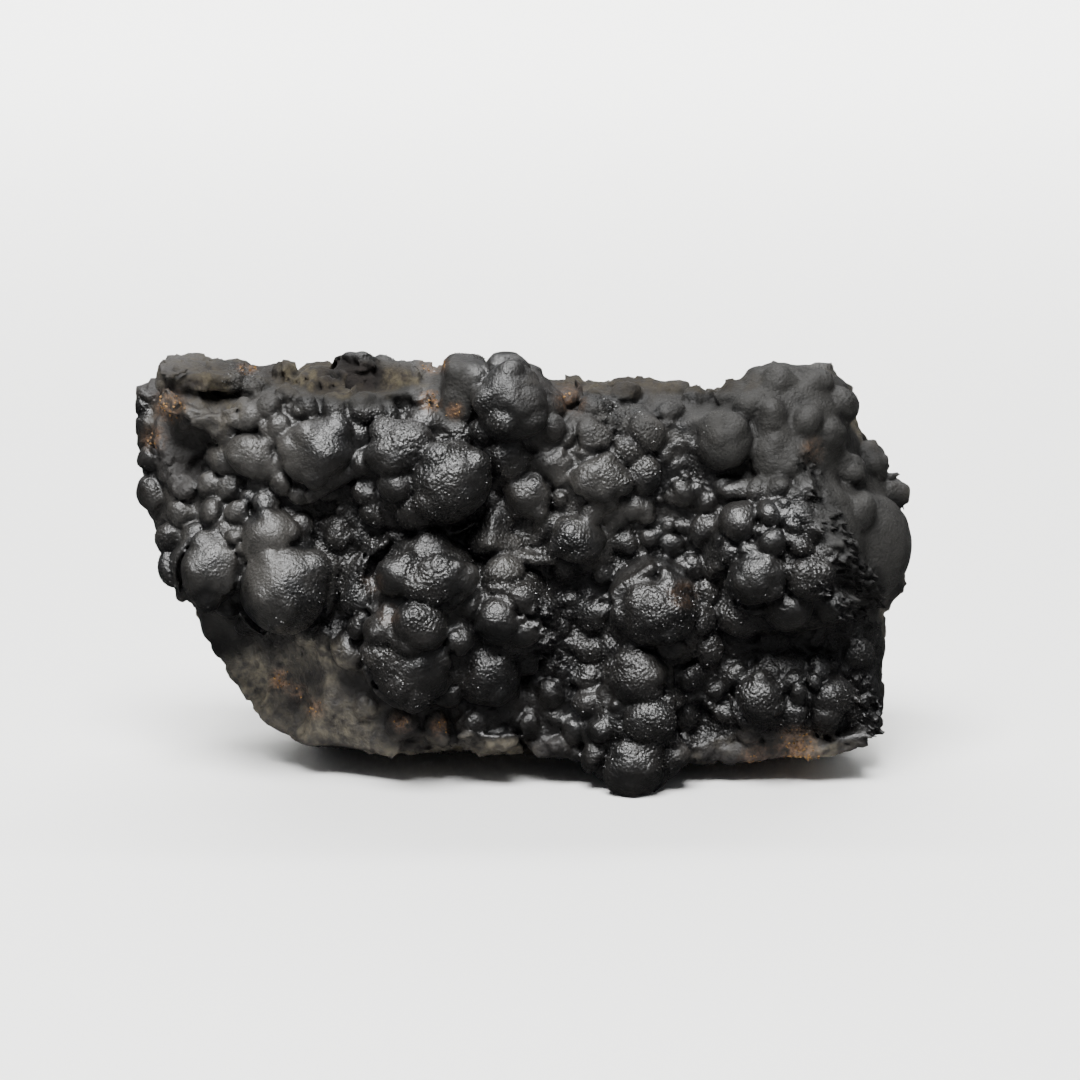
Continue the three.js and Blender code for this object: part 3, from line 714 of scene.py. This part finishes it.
def crust_relief(points, raised):
    """Packed domes: tall between the lobes, where they are hardly raised off the rock, low on
    them, and broad and shallow where the skin is satin."""
    u, v = to_sheet(points)
    satin, calm = patch_mask(u, v, SATIN_PATCHES), patch_mask(u, v, SMOOTH_PATCHES)
    between = np.clip(1.5 - raised / 1.1, 0, 1) * (1 - satin)
    waves = 0.2 * soft_noise(points, 3.6) + 0.06 * soft_noise(points, 1.5)
    patchy = np.clip(0.3 + 1.6 * soft_noise(points, 9.0), 0, 1)
    low = 0.24 * dome_noise(points, 3.2) + 0.2 * dome_noise(points, 1.5) * patchy - 0.25
    tall = 1.4 * dome_noise(points, 4.4) + 0.35 * dome_noise(points, 2.1) - 1.05
    broad = (1.0 * dome_noise(points, 5.0) - 0.6) * np.clip((v - 44) / 6, 0.15, 1)
    return waves + low * (1 - satin) * (1 - 0.75 * calm) + tall * between + broad * satin


def rock_relief(points):
    """Tilted chips of three sizes, lower where the rock parted along a plain break."""
    plain = patch_mask(*to_sheet(points), PLAIN_BREAKS) * (points[:, 1] < 30)
    chips = 1.0 * chip_noise(points, 8.0) + 0.5 * chip_noise(points, 3.6) - 0.2
    grains = 0.3 * chip_noise(points, 1.5) + 0.2 * soft_noise(points, 1.6)
    return chips * (1 - 0.7 * plain) + grains * (1 - 0.3 * plain)


def bend(field, band):
    """Bends the shape a little, so that nothing stays a true ball, box or plane."""
    cells, points = cells_near(field, band)
    shift = np.stack([0.55 * soft_noise(points, 6.5) + 0.12 * soft_noise(points, 2.6)
                      for _ in range(3)], axis=1)
    field[cells] = grid_sample(field, points + shift).astype(np.float32)


# Lobes of this radius and more carry knobs, which stand proud by so many of their radii.
KNOBBED_RADIUS = 3.9
BOLD_KNOBS = 0.09
FAINT_KNOBS = 0.03
KNOB_FILLET = 0.25
# Each knob is turned by this from the last, which spreads them evenly.
GOLDEN_ANGLE = 2.4


def knobs_on(rows, proud):
    """Low knobs spread over each larger lobe, in the same four numbers."""
    knobs = []
    for u, v, radius, _ in rows:
        if radius < KNOBBED_RADIUS:
            continue
        count = int(2 + 0.7 * radius)
        turn = rng.uniform(0, 2 * math.pi)
        for i in range(count):
            out = 0.86 * radius * math.sqrt((i + 0.4) / count) * rng.uniform(0.9, 1.1)
            angle = turn + GOLDEN_ANGLE * i + rng.uniform(-0.3, 0.3)
            knobs.append([u + out * math.cos(angle), v + out * math.sin(angle),
                          radius * rng.uniform(0.36, 0.56), proud * rng.uniform(0.6, 1.5)])
    return knobs


# Lobes strewn between the listed ones, none of them deep in behind or on the very top.
FILL_TRIES = 1500
FILL_RADII = (1.0, 2.6)
FILL_PROUD = (0.15, 0.45)
FILL_DEEPEST = 21
FILL_TOP = 67.5


def filling_lobes(rows):
    """Small lobes that fill what the listed ones leave open, in the same four numbers."""
    taken = np.array([row[:3] for row in rows], dtype=float)
    filled = []
    tries = zip(rng.uniform(-64, 64, FILL_TRIES), rng.uniform(4, 73, FILL_TRIES),
                rng.uniform(0, 1, FILL_TRIES), rng.uniform(*FILL_PROUD, FILL_TRIES))
    for u, v, pick, proud in tries:
        radius = FILL_RADII[0] + (FILL_RADII[1] - FILL_RADII[0]) * pick**1.6
        room = np.hypot(taken[:, 0] - u, taken[:, 1] - v) - 0.93 * taken[:, 2]
        if room.min() > 0.62 * radius:
            filled.append([u, v, radius, proud])
            taken = np.vstack([taken, [u, v, radius]])
    filled = np.array(filled)
    bare = patch_mask(filled[:, 0], filled[:, 1], BARE_PATCHES)
    satin = patch_mask(filled[:, 0], filled[:, 1], SATIN_PATCHES)
    return filled[(bare < 0.5) & (satin < 0.5) & (filled[:, 0] < 57)]


def specimen_field():
    rock = broken_rock()
    field = rock.copy()
    listed = [*LEFT_LOBES, *TOP_LEFT_LOBES, *SECOND_LOBES, *CROWN_LOBES, *LEADING_LOBES,
              *MIDDLE_LOBES, *LOW_LOBES, *SATIN_LOBES, *RIDGE_LOBES]
    add_lobes(field, rock, listed)
    fill = filling_lobes([*listed, *FINE_LOBES])
    depth, hit = face_depth(rock, fill[:, 0], fill[:, 1])
    fill = fill[hit & (depth < FILL_DEEPEST) & (fill[:, 1] < FILL_TOP)]
    add_lobes(field, rock, [*FINE_LOBES, *fill], FINE_SWELL)
    for u, v, long, high, turn, proud in OVAL_LOBES:
        depth = depth_at(rock, u, v)
        deep = min(long, high)
        add_oval(field, place(u, v, depth + deep * (1 - proud)), (long, high, deep), turn)
    bold = [*SECOND_LOBES, *CROWN_LOBES, *LEADING_LOBES, *MIDDLE_LOBES, *LOW_LOBES, *RIDGE_LOBES]
    ovals = [[u, v, (long + high) / 2, proud] for u, v, long, high, _, proud in OVAL_LOBES]
    faint = knobs_on([*LEFT_LOBES, *TOP_LEFT_LOBES, *SATIN_LOBES], FAINT_KNOBS)
    knobs = [*knobs_on([*bold, *ovals], BOLD_KNOBS), *faint]
    add_lobes(field, field.copy(), knobs, 1.0, KNOB_FILLET)
    add_lobes(field, rock, SATIN_BALL, 1.0)
    for u, v, y, long, high, deep, turn in SLABS:
        halves = (long * SLAB_TRIM, high * SLAB_TRIM, deep * SLAB_TRIM)
        add_slab(field, place(u, v, y), halves, turn)
    depth = depth_at(rock, *POINT_FOOT)
    add_hull(field, places([[u, v, depth + y] for u, v, y in POINT]))
    for u, v, radius, turn in PEAKS:
        depth = depth_at(rock, u, v)
        add_peak(field, place(u, v, depth - 0.3 * radius), radius, turn)
    for u, v, radius, proud, thickness, first, last in SHELLS:
        depth = depth_at(rock, u, v)
        middle = place(u, v, depth + radius * (1 - proud) * 0.9)
        add_shell(field, middle, radius, thickness, first, last)
    bend(field, BAND + 0.6)
    roughen(field, rock, BAND)
    add_combs(field)
    return field


def field_mesh(field):
    """Corners and faces of the surface where the field is nought."""
    grid = openvdb.FloatGrid(FAR)
    grid.copyFromArray(np.clip(field, -3, 3).astype(np.float32))
    corners, triangles, quads = grid.convertToPolygons(0.0, 0.0)
    corners = corners.astype(float) * STEP + GRID_LOW
    faces = [*quads.tolist(), *triangles.tolist()]
    return corners, faces


# How far the skin stays inside the part's box, and how high over the foot it is made flat.
BOX_MARGIN = 0.02
FOOT_FLAT = 0.12


def into_box(corners):
    """Moves the corners into the part's own frame and keeps them inside its box."""
    corners = corners.copy()
    corners[:, 0] -= BOX_MIDDLE[0]
    corners[:, 1] -= BOX_MIDDLE[1]
    low, high = (np.array(c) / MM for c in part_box("goethite"))
    return np.clip(corners, low + BOX_MARGIN, high - BOX_MARGIN)


def new_object(name, data):
    added = bpy.data.objects.new(name, data)
    bpy.context.scene.collection.objects.link(added)
    return added


def make_specimen():
    field = specimen_field()
    z = AXES[2][None, None, :]
    field = np.maximum(field, -z)
    corners, faces = field_mesh(field)
    corners[corners[:, 2] < FOOT_FLAT, 2] = 0
    mesh = bpy.data.meshes.new("goethite_specimen")
    mesh.from_pydata(into_box(corners) * MM, [], faces)
    mesh.validate()
    piece = new_object("goethite_specimen", mesh)
    keep_largest(mesh)
    return piece, field


def keep_largest(mesh):
    """Deletes loose crumbs, and turns every face outwards."""
    work = bmesh.new()
    work.from_mesh(mesh)
    seen, groups = set(), []
    for start in work.verts:
        if start.index in seen:
            continue
        group, queue = [], [start]
        seen.add(start.index)
        while queue:
            vert = queue.pop()
            group.append(vert)
            for edge in vert.link_edges:
                other = edge.other_vert(vert)
                if other.index not in seen:
                    seen.add(other.index)
                    queue.append(other)
        groups.append(group)
    groups.sort(key=len, reverse=True)
    bmesh.ops.delete(work, geom=[v for group in groups[1:] for v in group], context="VERTS")
    bmesh.ops.recalc_face_normals(work, faces=work.faces)
    work.to_mesh(mesh)
    work.free()


FACE_LIMIT = 190000
# The front keeps its faces longest: thinning grows from the one depth to the other.
FULL_DETAIL_DEPTH = 2
THINNED_OVER = 14


def corners_of(mesh):
    corners = np.empty(len(mesh.vertices) * 3)
    mesh.vertices.foreach_get("co", corners)
    return corners.reshape(-1, 3)


def thin_out(piece):
    """Collapses the mesh to fewer triangles, most of them kept on the front."""
    mesh = piece.data
    depth = corners_of(mesh)[:, 1] / MM
    group = piece.vertex_groups.new(name="back")
    behind = np.clip((depth - FULL_DETAIL_DEPTH) / THINNED_OVER, 0, 1) * 0.6 + 0.1
    for level in range(11):
        chosen = np.nonzero(np.round(behind * 10) == level)[0]
        group.add(chosen.tolist(), level / 10, "REPLACE")
    triangles = sum(len(face.vertices) - 2 for face in mesh.polygons)
    thin = piece.modifiers.new("thin", "DECIMATE")
    thin.ratio = min(1.0, FACE_LIMIT / triangles)
    thin.vertex_group = "back"
    thin.vertex_group_factor = 1.0
    evaluated = piece.evaluated_get(bpy.context.evaluated_depsgraph_get())
    thinned = bpy.data.meshes.new_from_object(evaluated)
    piece.modifiers.remove(thin)
    piece.vertex_groups.clear()
    piece.data = thinned
    thinned.name = "goethite_specimen"
    thinned.polygons.foreach_set("use_smooth", [True] * len(thinned.polygons))
    hold_in_box(thinned)
    close_up(thinned)


# Corners nearer than this are one, and how often the skin is looked over for faults.
WELD = 1e-5
MEND_TURNS = 8


def close_up(mesh):
    """Welds what lies together, and cuts out and refills each spot where the skin isn't closed."""
    work = bmesh.new()
    work.from_mesh(mesh)
    bmesh.ops.remove_doubles(work, verts=work.verts, dist=WELD)
    bmesh.ops.dissolve_degenerate(work, edges=work.edges, dist=WELD)
    work.faces.index_update()
    for _ in range(MEND_TURNS):
        faulty = {vert for edge in work.edges if len(edge.link_faces) != 2 for vert in edge.verts}
        if not faulty:
            break
        around = sorted({face.index for vert in faulty for face in vert.link_faces})
        work.faces.ensure_lookup_table()
        bmesh.ops.delete(work, geom=[work.faces[i] for i in around], context="FACES")
        loose = [vert for vert in work.verts if not vert.link_faces]
        bmesh.ops.delete(work, geom=loose, context="VERTS")
        open_edges = [edge for edge in work.edges if edge.is_boundary]
        filled = bmesh.ops.holes_fill(work, edges=open_edges, sides=0)["faces"]
        bmesh.ops.triangulate(work, faces=filled)
        bmesh.ops.dissolve_degenerate(work, edges=work.edges, dist=WELD)
        work.faces.index_update()
    bmesh.ops.triangulate(work, faces=[face for face in work.faces if len(face.verts) > 3])
    bmesh.ops.recalc_face_normals(work, faces=work.faces)
    for face in work.faces:
        face.smooth = True
    work.to_mesh(mesh)
    work.free()


def paint(piece, field):
    """Writes what covers each corner, and where shade is painted, as columns the materials and the
    grains read.
    """
    mesh = piece.data
    points = corners_of(mesh) / MM + (BOX_MIDDLE[0], BOX_MIDDLE[1], 0)
    normals = np.empty(len(mesh.vertices) * 3)
    mesh.vertex_normals.foreach_get("vector", normals)
    normals = normals.reshape(-1, 3)
    u, v = to_sheet(points)
    wander = soft_noise(points, 3.4)
    front = np.clip((30 - points[:, 1]) / 4, 0, 1)
    stain = np.zeros(len(points))
    for stain_u, stain_v, radius, strength in STAINS:
        out = np.hypot(u - stain_u + wander * 0.6, v - stain_v) / radius
        stain = np.maximum(stain, strength * np.clip(1.4 - out, 0, 1))
    smooth = np.maximum(patch_mask(u, v, SATIN_PATCHES), patch_mask(u, v, SMOOTH_PATCHES))
    frost = np.clip(2.4 * soft_noise(points, 8.0) + 0.25, 0, 1) * (1 - smooth)
    frost = frost * (1 - bare_mask(points, wander))
    # painted shade: near 1 where the shape closes in 1.6 mm out along the normal, as in creases
    crease_shade = 1 - np.clip(grid_sample(field, points + 1.6 * normals) / 1.6, 0, 1)
    columns = {
        "bare": bare_mask(points, wander),
        # painted shade on faces that look up, with the darkened breaks on the front
        "painted_top_shade_and_dark_breaks": np.maximum(np.clip(normals[:, 2] * 1.6 - 0.5, 0, 1),
                              patch_mask(u, v, DARKENED_BREAKS, 0.6) * front),
        "dull": patch_mask(u, v, DULL_PATCHES, 0.6),
        "satin": patch_mask(u, v, SATIN_PATCHES) * front,
        "dusty": patch_mask(u + wander, v, DUSTY_PATCHES, 0.8) * front,
        "stain": stain * front,
        "frost": frost * front,
        "grit": np.clip(stain * 1.4 - 0.3, 0, 1) * front,
        "crease_shade": crease_shade,
    }
    for name, values in columns.items():
        attribute = mesh.attributes.new(name, "FLOAT", "POINT")
        attribute.data.foreach_set("value", values.astype(np.float32))


def grain_tree(name):
    """Strews small grains over a skin where its mask is high, each turned its own way."""
    tree = bpy.data.node_groups.new(name, "GeometryNodeTree")
    face = tree.interface
    sockets = {}
    face.new_socket("Geometry", in_out="INPUT", socket_type="NodeSocketGeometry")
    for label, kind, value in (
        ("Mask", "NodeSocketFloat", 0.0), ("Grains per Square Metre", "NodeSocketFloat", 1e5),
        ("Smallest Grain", "NodeSocketFloat", 0.0003),
        ("Largest Grain", "NodeSocketFloat", 0.0006),
        ("Seed", "NodeSocketInt", 4), ("Material", "NodeSocketMaterial", None),
    ):
        socket = face.new_socket(label, in_out="INPUT", socket_type=kind)
        if value is not None:
            socket.default_value = value
        sockets[label] = socket.identifier
    face.new_socket("Geometry", in_out="OUTPUT", socket_type="NodeSocketGeometry")
    given = add_node(tree, "NodeGroupInput").outputs
    strewn = add_node(tree, "GeometryNodeDistributePointsOnFaces",
                      {"distribute_method": "RANDOM"}, Mesh=given["Geometry"],
                      Density=add_node(tree, "ShaderNodeMath", {"operation": "MULTIPLY"},
                                       _0=given["Mask"],
                                       _1=given["Grains per Square Metre"]).outputs[0],
                      Seed=given["Seed"])
    size = add_node(tree, "FunctionNodeRandomValue", {"data_type": "FLOAT"},
                    _2=given["Smallest Grain"], _3=given["Largest Grain"], Seed=given["Seed"])
    tilt = add_node(tree, "FunctionNodeRandomValue", {"data_type": "FLOAT_VECTOR"},
                    _0=(0, 0, 0), _1=(math.pi, math.pi, math.pi), Seed=given["Seed"])
    grain = add_node(tree, "GeometryNodeMeshCone", Vertices=4, Radius_Bottom=0.5, Depth=0.9)
    placed = add_node(tree, "GeometryNodeInstanceOnPoints", Points=strewn.outputs["Points"],
                      Instance=grain.outputs["Mesh"], Rotation=tilt.outputs["Value"],
                      Scale=size.outputs[1])
    real = add_node(tree, "GeometryNodeRealizeInstances", Geometry=placed.outputs[0])
    dressed = add_node(tree, "GeometryNodeSetMaterial", Geometry=real.outputs[0],
                       Material=given["Material"])
    add_node(tree, "NodeGroupOutput", Geometry=dressed.outputs[0])
    return tree, sockets


def strew_grains(name, skin, tree, sockets, mask, settings):
    """A mesh of the grains that grow on the skin, as a piece of its own."""
    piece = new_object(name, skin.data.copy())
    grow = piece.modifiers.new("grow", "NODES")
    grow.node_group = tree
    for label, value in settings.items():
        grow[sockets[label]] = value
    grow[sockets["Mask"] + "_use_attribute"] = True
    grow[sockets["Mask"] + "_attribute_name"] = mask
    evaluated = piece.evaluated_get(bpy.context.evaluated_depsgraph_get())
    mesh = bpy.data.meshes.new_from_object(evaluated)
    mesh.name = name
    piece.modifiers.remove(grow)
    piece.data = mesh
    hold_in_box(mesh)
    return piece


def hold_in_box(mesh):
    """Keeps a mesh's corners inside the part's box."""
    low, high = (np.array(c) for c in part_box("goethite"))
    mesh.vertices.foreach_set("co", np.clip(corners_of(mesh), low, high).ravel())
    mesh.update()


def linear(hex_colour):
    """An sRGB hex colour as linear red, green, blue and 1."""
    parts = [int(hex_colour[i:i + 2], 16) / 255 for i in (1, 3, 5)]
    parts = [p / 12.92 if p <= 0.04045 else ((p + 0.055) / 1.055) ** 2.4 for p in parts]
    return (*parts, 1.0)


def add_node(tree, kind, settings=None, **inputs):
    """Adds a node, gives it its settings, and sets or links its inputs."""
    node = tree.nodes.new(kind)
    for name, value in (settings or {}).items():
        setattr(node, name, value)
    for name, value in inputs.items():
        numbered = name[1:].isdigit()
        socket = node.inputs[int(name[1:]) if numbered else name.replace("_", " ")]
        if isinstance(value, bpy.types.NodeSocket):
            tree.links.new(value, socket)
        else:
            socket.default_value = value
    return node


def empty_material(name):
    """A material without nodes, its node tree, and where on the specimen each point is."""
    material = bpy.data.materials.new(name)
    material.use_nodes = True
    tree = material.node_tree
    tree.nodes.clear()
    return material, tree, add_node(tree, "ShaderNodeTexCoord").outputs["Object"]


def crust_material():
    """Botryoidal goethite grown as a skin on massive rock: near-black and bright on the lobes."""
    material, tree, where = empty_material("botryoidal_goethite")

    def layer(name):
        return add_node(tree, "ShaderNodeAttribute", {"attribute_name": name}).outputs["Fac"]

    def noise(millimetres, detail=4.0, rough=0.55):
        return add_node(tree, "ShaderNodeTexNoise", Vector=where, Scale=1 / (millimetres * MM),
                        Detail=detail, Roughness=rough).outputs["Fac"]

    def blend(amount, first, second, kind="MIX"):
        node = add_node(tree, "ShaderNodeMix", {"data_type": "RGBA", "blend_type": kind},
                        _0=amount, _6=first, _7=second)
        return node.outputs[2]

    def sum_up(kind, first, second, clamp=False):
        return add_node(tree, "ShaderNodeMath", {"operation": kind, "use_clamp": clamp},
                        _0=first, _1=second).outputs[0]

    def remap(value, low, high, new_low=0.0, new_high=1.0):
        return add_node(tree, "ShaderNodeMapRange", Value=value, From_Min=low, From_Max=high,
                        To_Min=new_low, To_Max=new_high).outputs[0]

    bare, satin, dusty = layer("bare"), layer("satin"), layer("dusty")
    stain, crease_shade = layer("stain"), layer("crease_shade")
    broad, grain, fine = noise(9), noise(1.5), noise(0.5)

    colour = blend(remap(broad, 0.35, 0.65), linear("#0c0c0c"), linear("#1a1816"))
    colour = blend(sum_up("MULTIPLY", satin, remap(grain, 0.3, 0.7, 0.6, 1.0)), colour,
                   linear("#252422"))
    dust = sum_up("MULTIPLY", dusty, remap(broad, 0.38, 0.6))
    colour = blend(dust, colour, linear("#2f2d2a"))
    rock = blend(remap(grain, 0.35, 0.65), linear("#2d2823"), linear("#57503f"))
    rock = blend(remap(noise(14, 3.0), 0.4, 0.6), rock, linear("#211d1b"))
    # painted shade: rock that faces up, and the breaks listed as darkened, are painted near black
    rock = blend(sum_up("MULTIPLY", layer("painted_top_shade_and_dark_breaks"), 0.75), rock, linear("#191613"))
    colour = blend(bare, colour, rock)
    rust = blend(remap(fine, 0.35, 0.65), linear("#4c3626"), linear("#8c6644"))
    colour = blend(sum_up("MULTIPLY", stain, remap(grain, 0.35, 0.6)), colour, rust)
    # painted shade: creases and recesses go near black
    colour = blend(sum_up("MULTIPLY", crease_shade, 0.8), colour, linear("#060606"))

    gloss = remap(grain, 0.3, 0.7, 0.31, 0.46)
    gloss = sum_up("ADD", gloss, sum_up("MULTIPLY", satin, 0.26))
    gloss = sum_up("ADD", gloss, sum_up("MULTIPLY", dust, 0.1))
    dull = layer("dull")
    gloss = sum_up("ADD", gloss, sum_up("MULTIPLY", dull, 0.2))
    gloss = sum_up("ADD", gloss, sum_up("MULTIPLY", bare, 0.28), True)

    bumps = add_node(tree, "ShaderNodeBump", Strength=0.22, Distance=0.00035, Height=grain)
    peel = add_node(tree, "ShaderNodeTexVoronoi", {"feature": "SMOOTH_F1"}, Vector=where,
                    Scale=1 / (0.5 * MM)).outputs["Distance"]
    frosted = remap(layer("frost"), 0, 1, 0.3, 0.9)
    bumps = add_node(tree, "ShaderNodeBump", {"invert": True}, Strength=frosted,
                     Distance=0.0003, Height=peel, Normal=bumps.outputs[0])
    bumps = add_node(tree, "ShaderNodeBump", Strength=0.8, Distance=0.00025, Height=fine,
                     Normal=bumps.outputs[0])
    skin = add_node(tree, "ShaderNodeBsdfPrincipled", Base_Color=colour, Roughness=gloss,
                    IOR=remap(sum_up("MAXIMUM", satin, dull), 0, 1, 1.7, 1.42),
                    Normal=bumps.outputs[0])
    add_node(tree, "ShaderNodeOutputMaterial", Surface=skin.outputs[0])
    return material


def druse_material():
    """Drusy goethite: tiny black crystals whose faces glint."""
    material, tree, where = empty_material("black_druse")
    spots = add_node(tree, "ShaderNodeTexNoise", Vector=where, Scale=1 / (0.8 * MM)).outputs["Fac"]
    colour = add_node(tree, "ShaderNodeMix", {"data_type": "RGBA"}, _0=spots,
                      _6=linear("#0d0d0d"), _7=linear("#24211e")).outputs[2]
    gloss = add_node(tree, "ShaderNodeMapRange", Value=spots, From_Min=0.3, From_Max=0.7,
                     To_Min=0.3, To_Max=0.5).outputs[0]
    skin = add_node(tree, "ShaderNodeBsdfPrincipled", Base_Color=colour, Roughness=gloss, IOR=1.7)
    add_node(tree, "ShaderNodeOutputMaterial", Surface=skin.outputs[0])
    return material


def ochre_material():
    """Ochre and limonite grit: dull, earthy grains from mustard to rust."""
    material, tree, where = empty_material("ochre_grit")
    spots = add_node(tree, "ShaderNodeTexNoise", Vector=where, Scale=1 / (1.2 * MM)).outputs["Fac"]
    mixed = add_node(tree, "ShaderNodeMapRange", Value=spots, From_Min=0.35, From_Max=0.65)
    colour = add_node(tree, "ShaderNodeMix", {"data_type": "RGBA"}, _0=mixed.outputs[0],
                      _6=linear("#463223"), _7=linear("#94703f")).outputs[2]
    rough = add_node(tree, "ShaderNodeMapRange", Value=spots, To_Min=0.9, To_Max=0.7).outputs[0]
    skin = add_node(tree, "ShaderNodeBsdfPrincipled", Base_Color=colour, Roughness=rough)
    add_node(tree, "ShaderNodeOutputMaterial", Surface=skin.outputs[0])
    return material


def plain_material(name, colour, roughness):
    """The stage's own material, one colour all over."""
    material = bpy.data.materials.new(name)
    material.use_nodes = True
    skin = material.node_tree.nodes["Principled BSDF"]
    skin.inputs["Base Color"].default_value = linear(colour)
    skin.inputs["Roughness"].default_value = roughness
    return material


def make_stage():
    """A pale floor that sweeps up into a backdrop."""
    work = bmesh.new()
    sweep = 0.9
    angles = [math.pi / 2 * step / 16 for step in range(17)]
    curve = [(1.3 + sweep * math.sin(angle), sweep * (1 - math.cos(angle))) for angle in angles]
    outline = [(-2.5, 0.0), *curve, (2.2, 3.0)]
    left, right = ([work.verts.new((x, y, z)) for y, z in outline] for x in (-3.0, 3.0))
    for corners in zip(left, right, right[1:], left[1:]):
        work.faces.new(corners)
    mesh = bpy.data.meshes.new("floor")
    work.to_mesh(mesh)
    work.free()
    mesh.polygons.foreach_set("use_smooth", [True] * len(mesh.polygons))
    floor = new_object("floor", mesh)
    mesh.materials.append(plain_material("pale_floor", "#fcfcfa", 0.9))
    # the lobes mirror the dim front of the studio, as they do on a narrow raised stand
    floor.visible_glossy = False


def add_softbox(name, where, target, width, height, power):
    light = bpy.data.lights.new(name, "AREA")
    light.shape = "RECTANGLE"
    light.size, light.size_y = width, height
    light.energy = power
    lamp = new_object(name, light)
    lamp.location = where
    lamp.rotation_euler = (Vector(target) - Vector(where)).to_track_quat("-Z", "Y").to_euler()


def make_lights():
    add_softbox("top_softbox", (-0.08, -0.38, 0.74), (0, 0, 0.03), 0.46, 0.34, 18)
    add_softbox("backdrop_light", (0.0, 1.0, 1.6), (0, 2.1, 0.5), 2.4, 0.9, 160)
    world = bpy.data.worlds.new("studio")
    world.use_nodes = True
    tree = world.node_tree
    # bright walls above and behind, dim below the level of the lens
    height = add_node(tree, "ShaderNodeSeparateXYZ",
                      _0=add_node(tree, "ShaderNodeTexCoord").outputs["Generated"])
    level = add_node(tree, "ShaderNodeMapRange", Value=height.outputs[2], From_Min=-0.1,
                     From_Max=0.8, To_Min=0.06, To_Max=0.28)
    back = tree.nodes["Background"]
    back.inputs[0].default_value = linear("#dfe2e6")
    tree.links.new(level.outputs[0], back.inputs[1])
    bpy.context.scene.world = world


def make_camera():
    """Looks along the line of sight that the sheet is square to."""
    down = SIGHT_TIP
    sight = np.array([0, math.cos(down), -math.sin(down)])
    middle = place(*SHEET_MIDDLE, SHEET_MIDDLE[1] * math.sin(down))
    middle = middle - (BOX_MIDDLE[0], BOX_MIDDLE[1], 0)
    camera = bpy.data.cameras.new("camera")
    camera.sensor_width = SENSOR_WIDTH
    camera.lens = PHOTO_SCALE * SIGHT_DISTANCE / PHOTO_WIDTH * SENSOR_WIDTH
    camera.clip_start = 0.01
    holder = new_object("camera", camera)
    holder.location = Vector((middle - SIGHT_DISTANCE * sight) * MM)
    holder.rotation_euler = (math.pi / 2 - down, 0, 0)
    bpy.context.scene.camera = holder


make_camera()
make_stage()
make_lights()
specimen, specimen_shape = make_specimen()
thin_out(specimen)
paint(specimen, specimen_shape)
specimen.data.materials.append(crust_material())

grains, grain_sockets = grain_tree("strewn_grains")
druse = strew_grains("black_druse", specimen, grains, grain_sockets, "frost", {
    "Grains per Square Metre": 4.0e6, "Smallest Grain": 0.14 * MM, "Largest Grain": 0.32 * MM,
    "Seed": 4, "Material": druse_material()})
grit = strew_grains("ochre_grit", specimen, grains, grain_sockets, "grit", {
    "Grains per Square Metre": 3.0e6, "Smallest Grain": 0.25 * MM, "Largest Grain": 0.6 * MM,
    "Seed": 9, "Material": ochre_material()})
for piece in (druse, grit):
    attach(piece, "root")
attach(specimen, "root")
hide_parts("goethite")
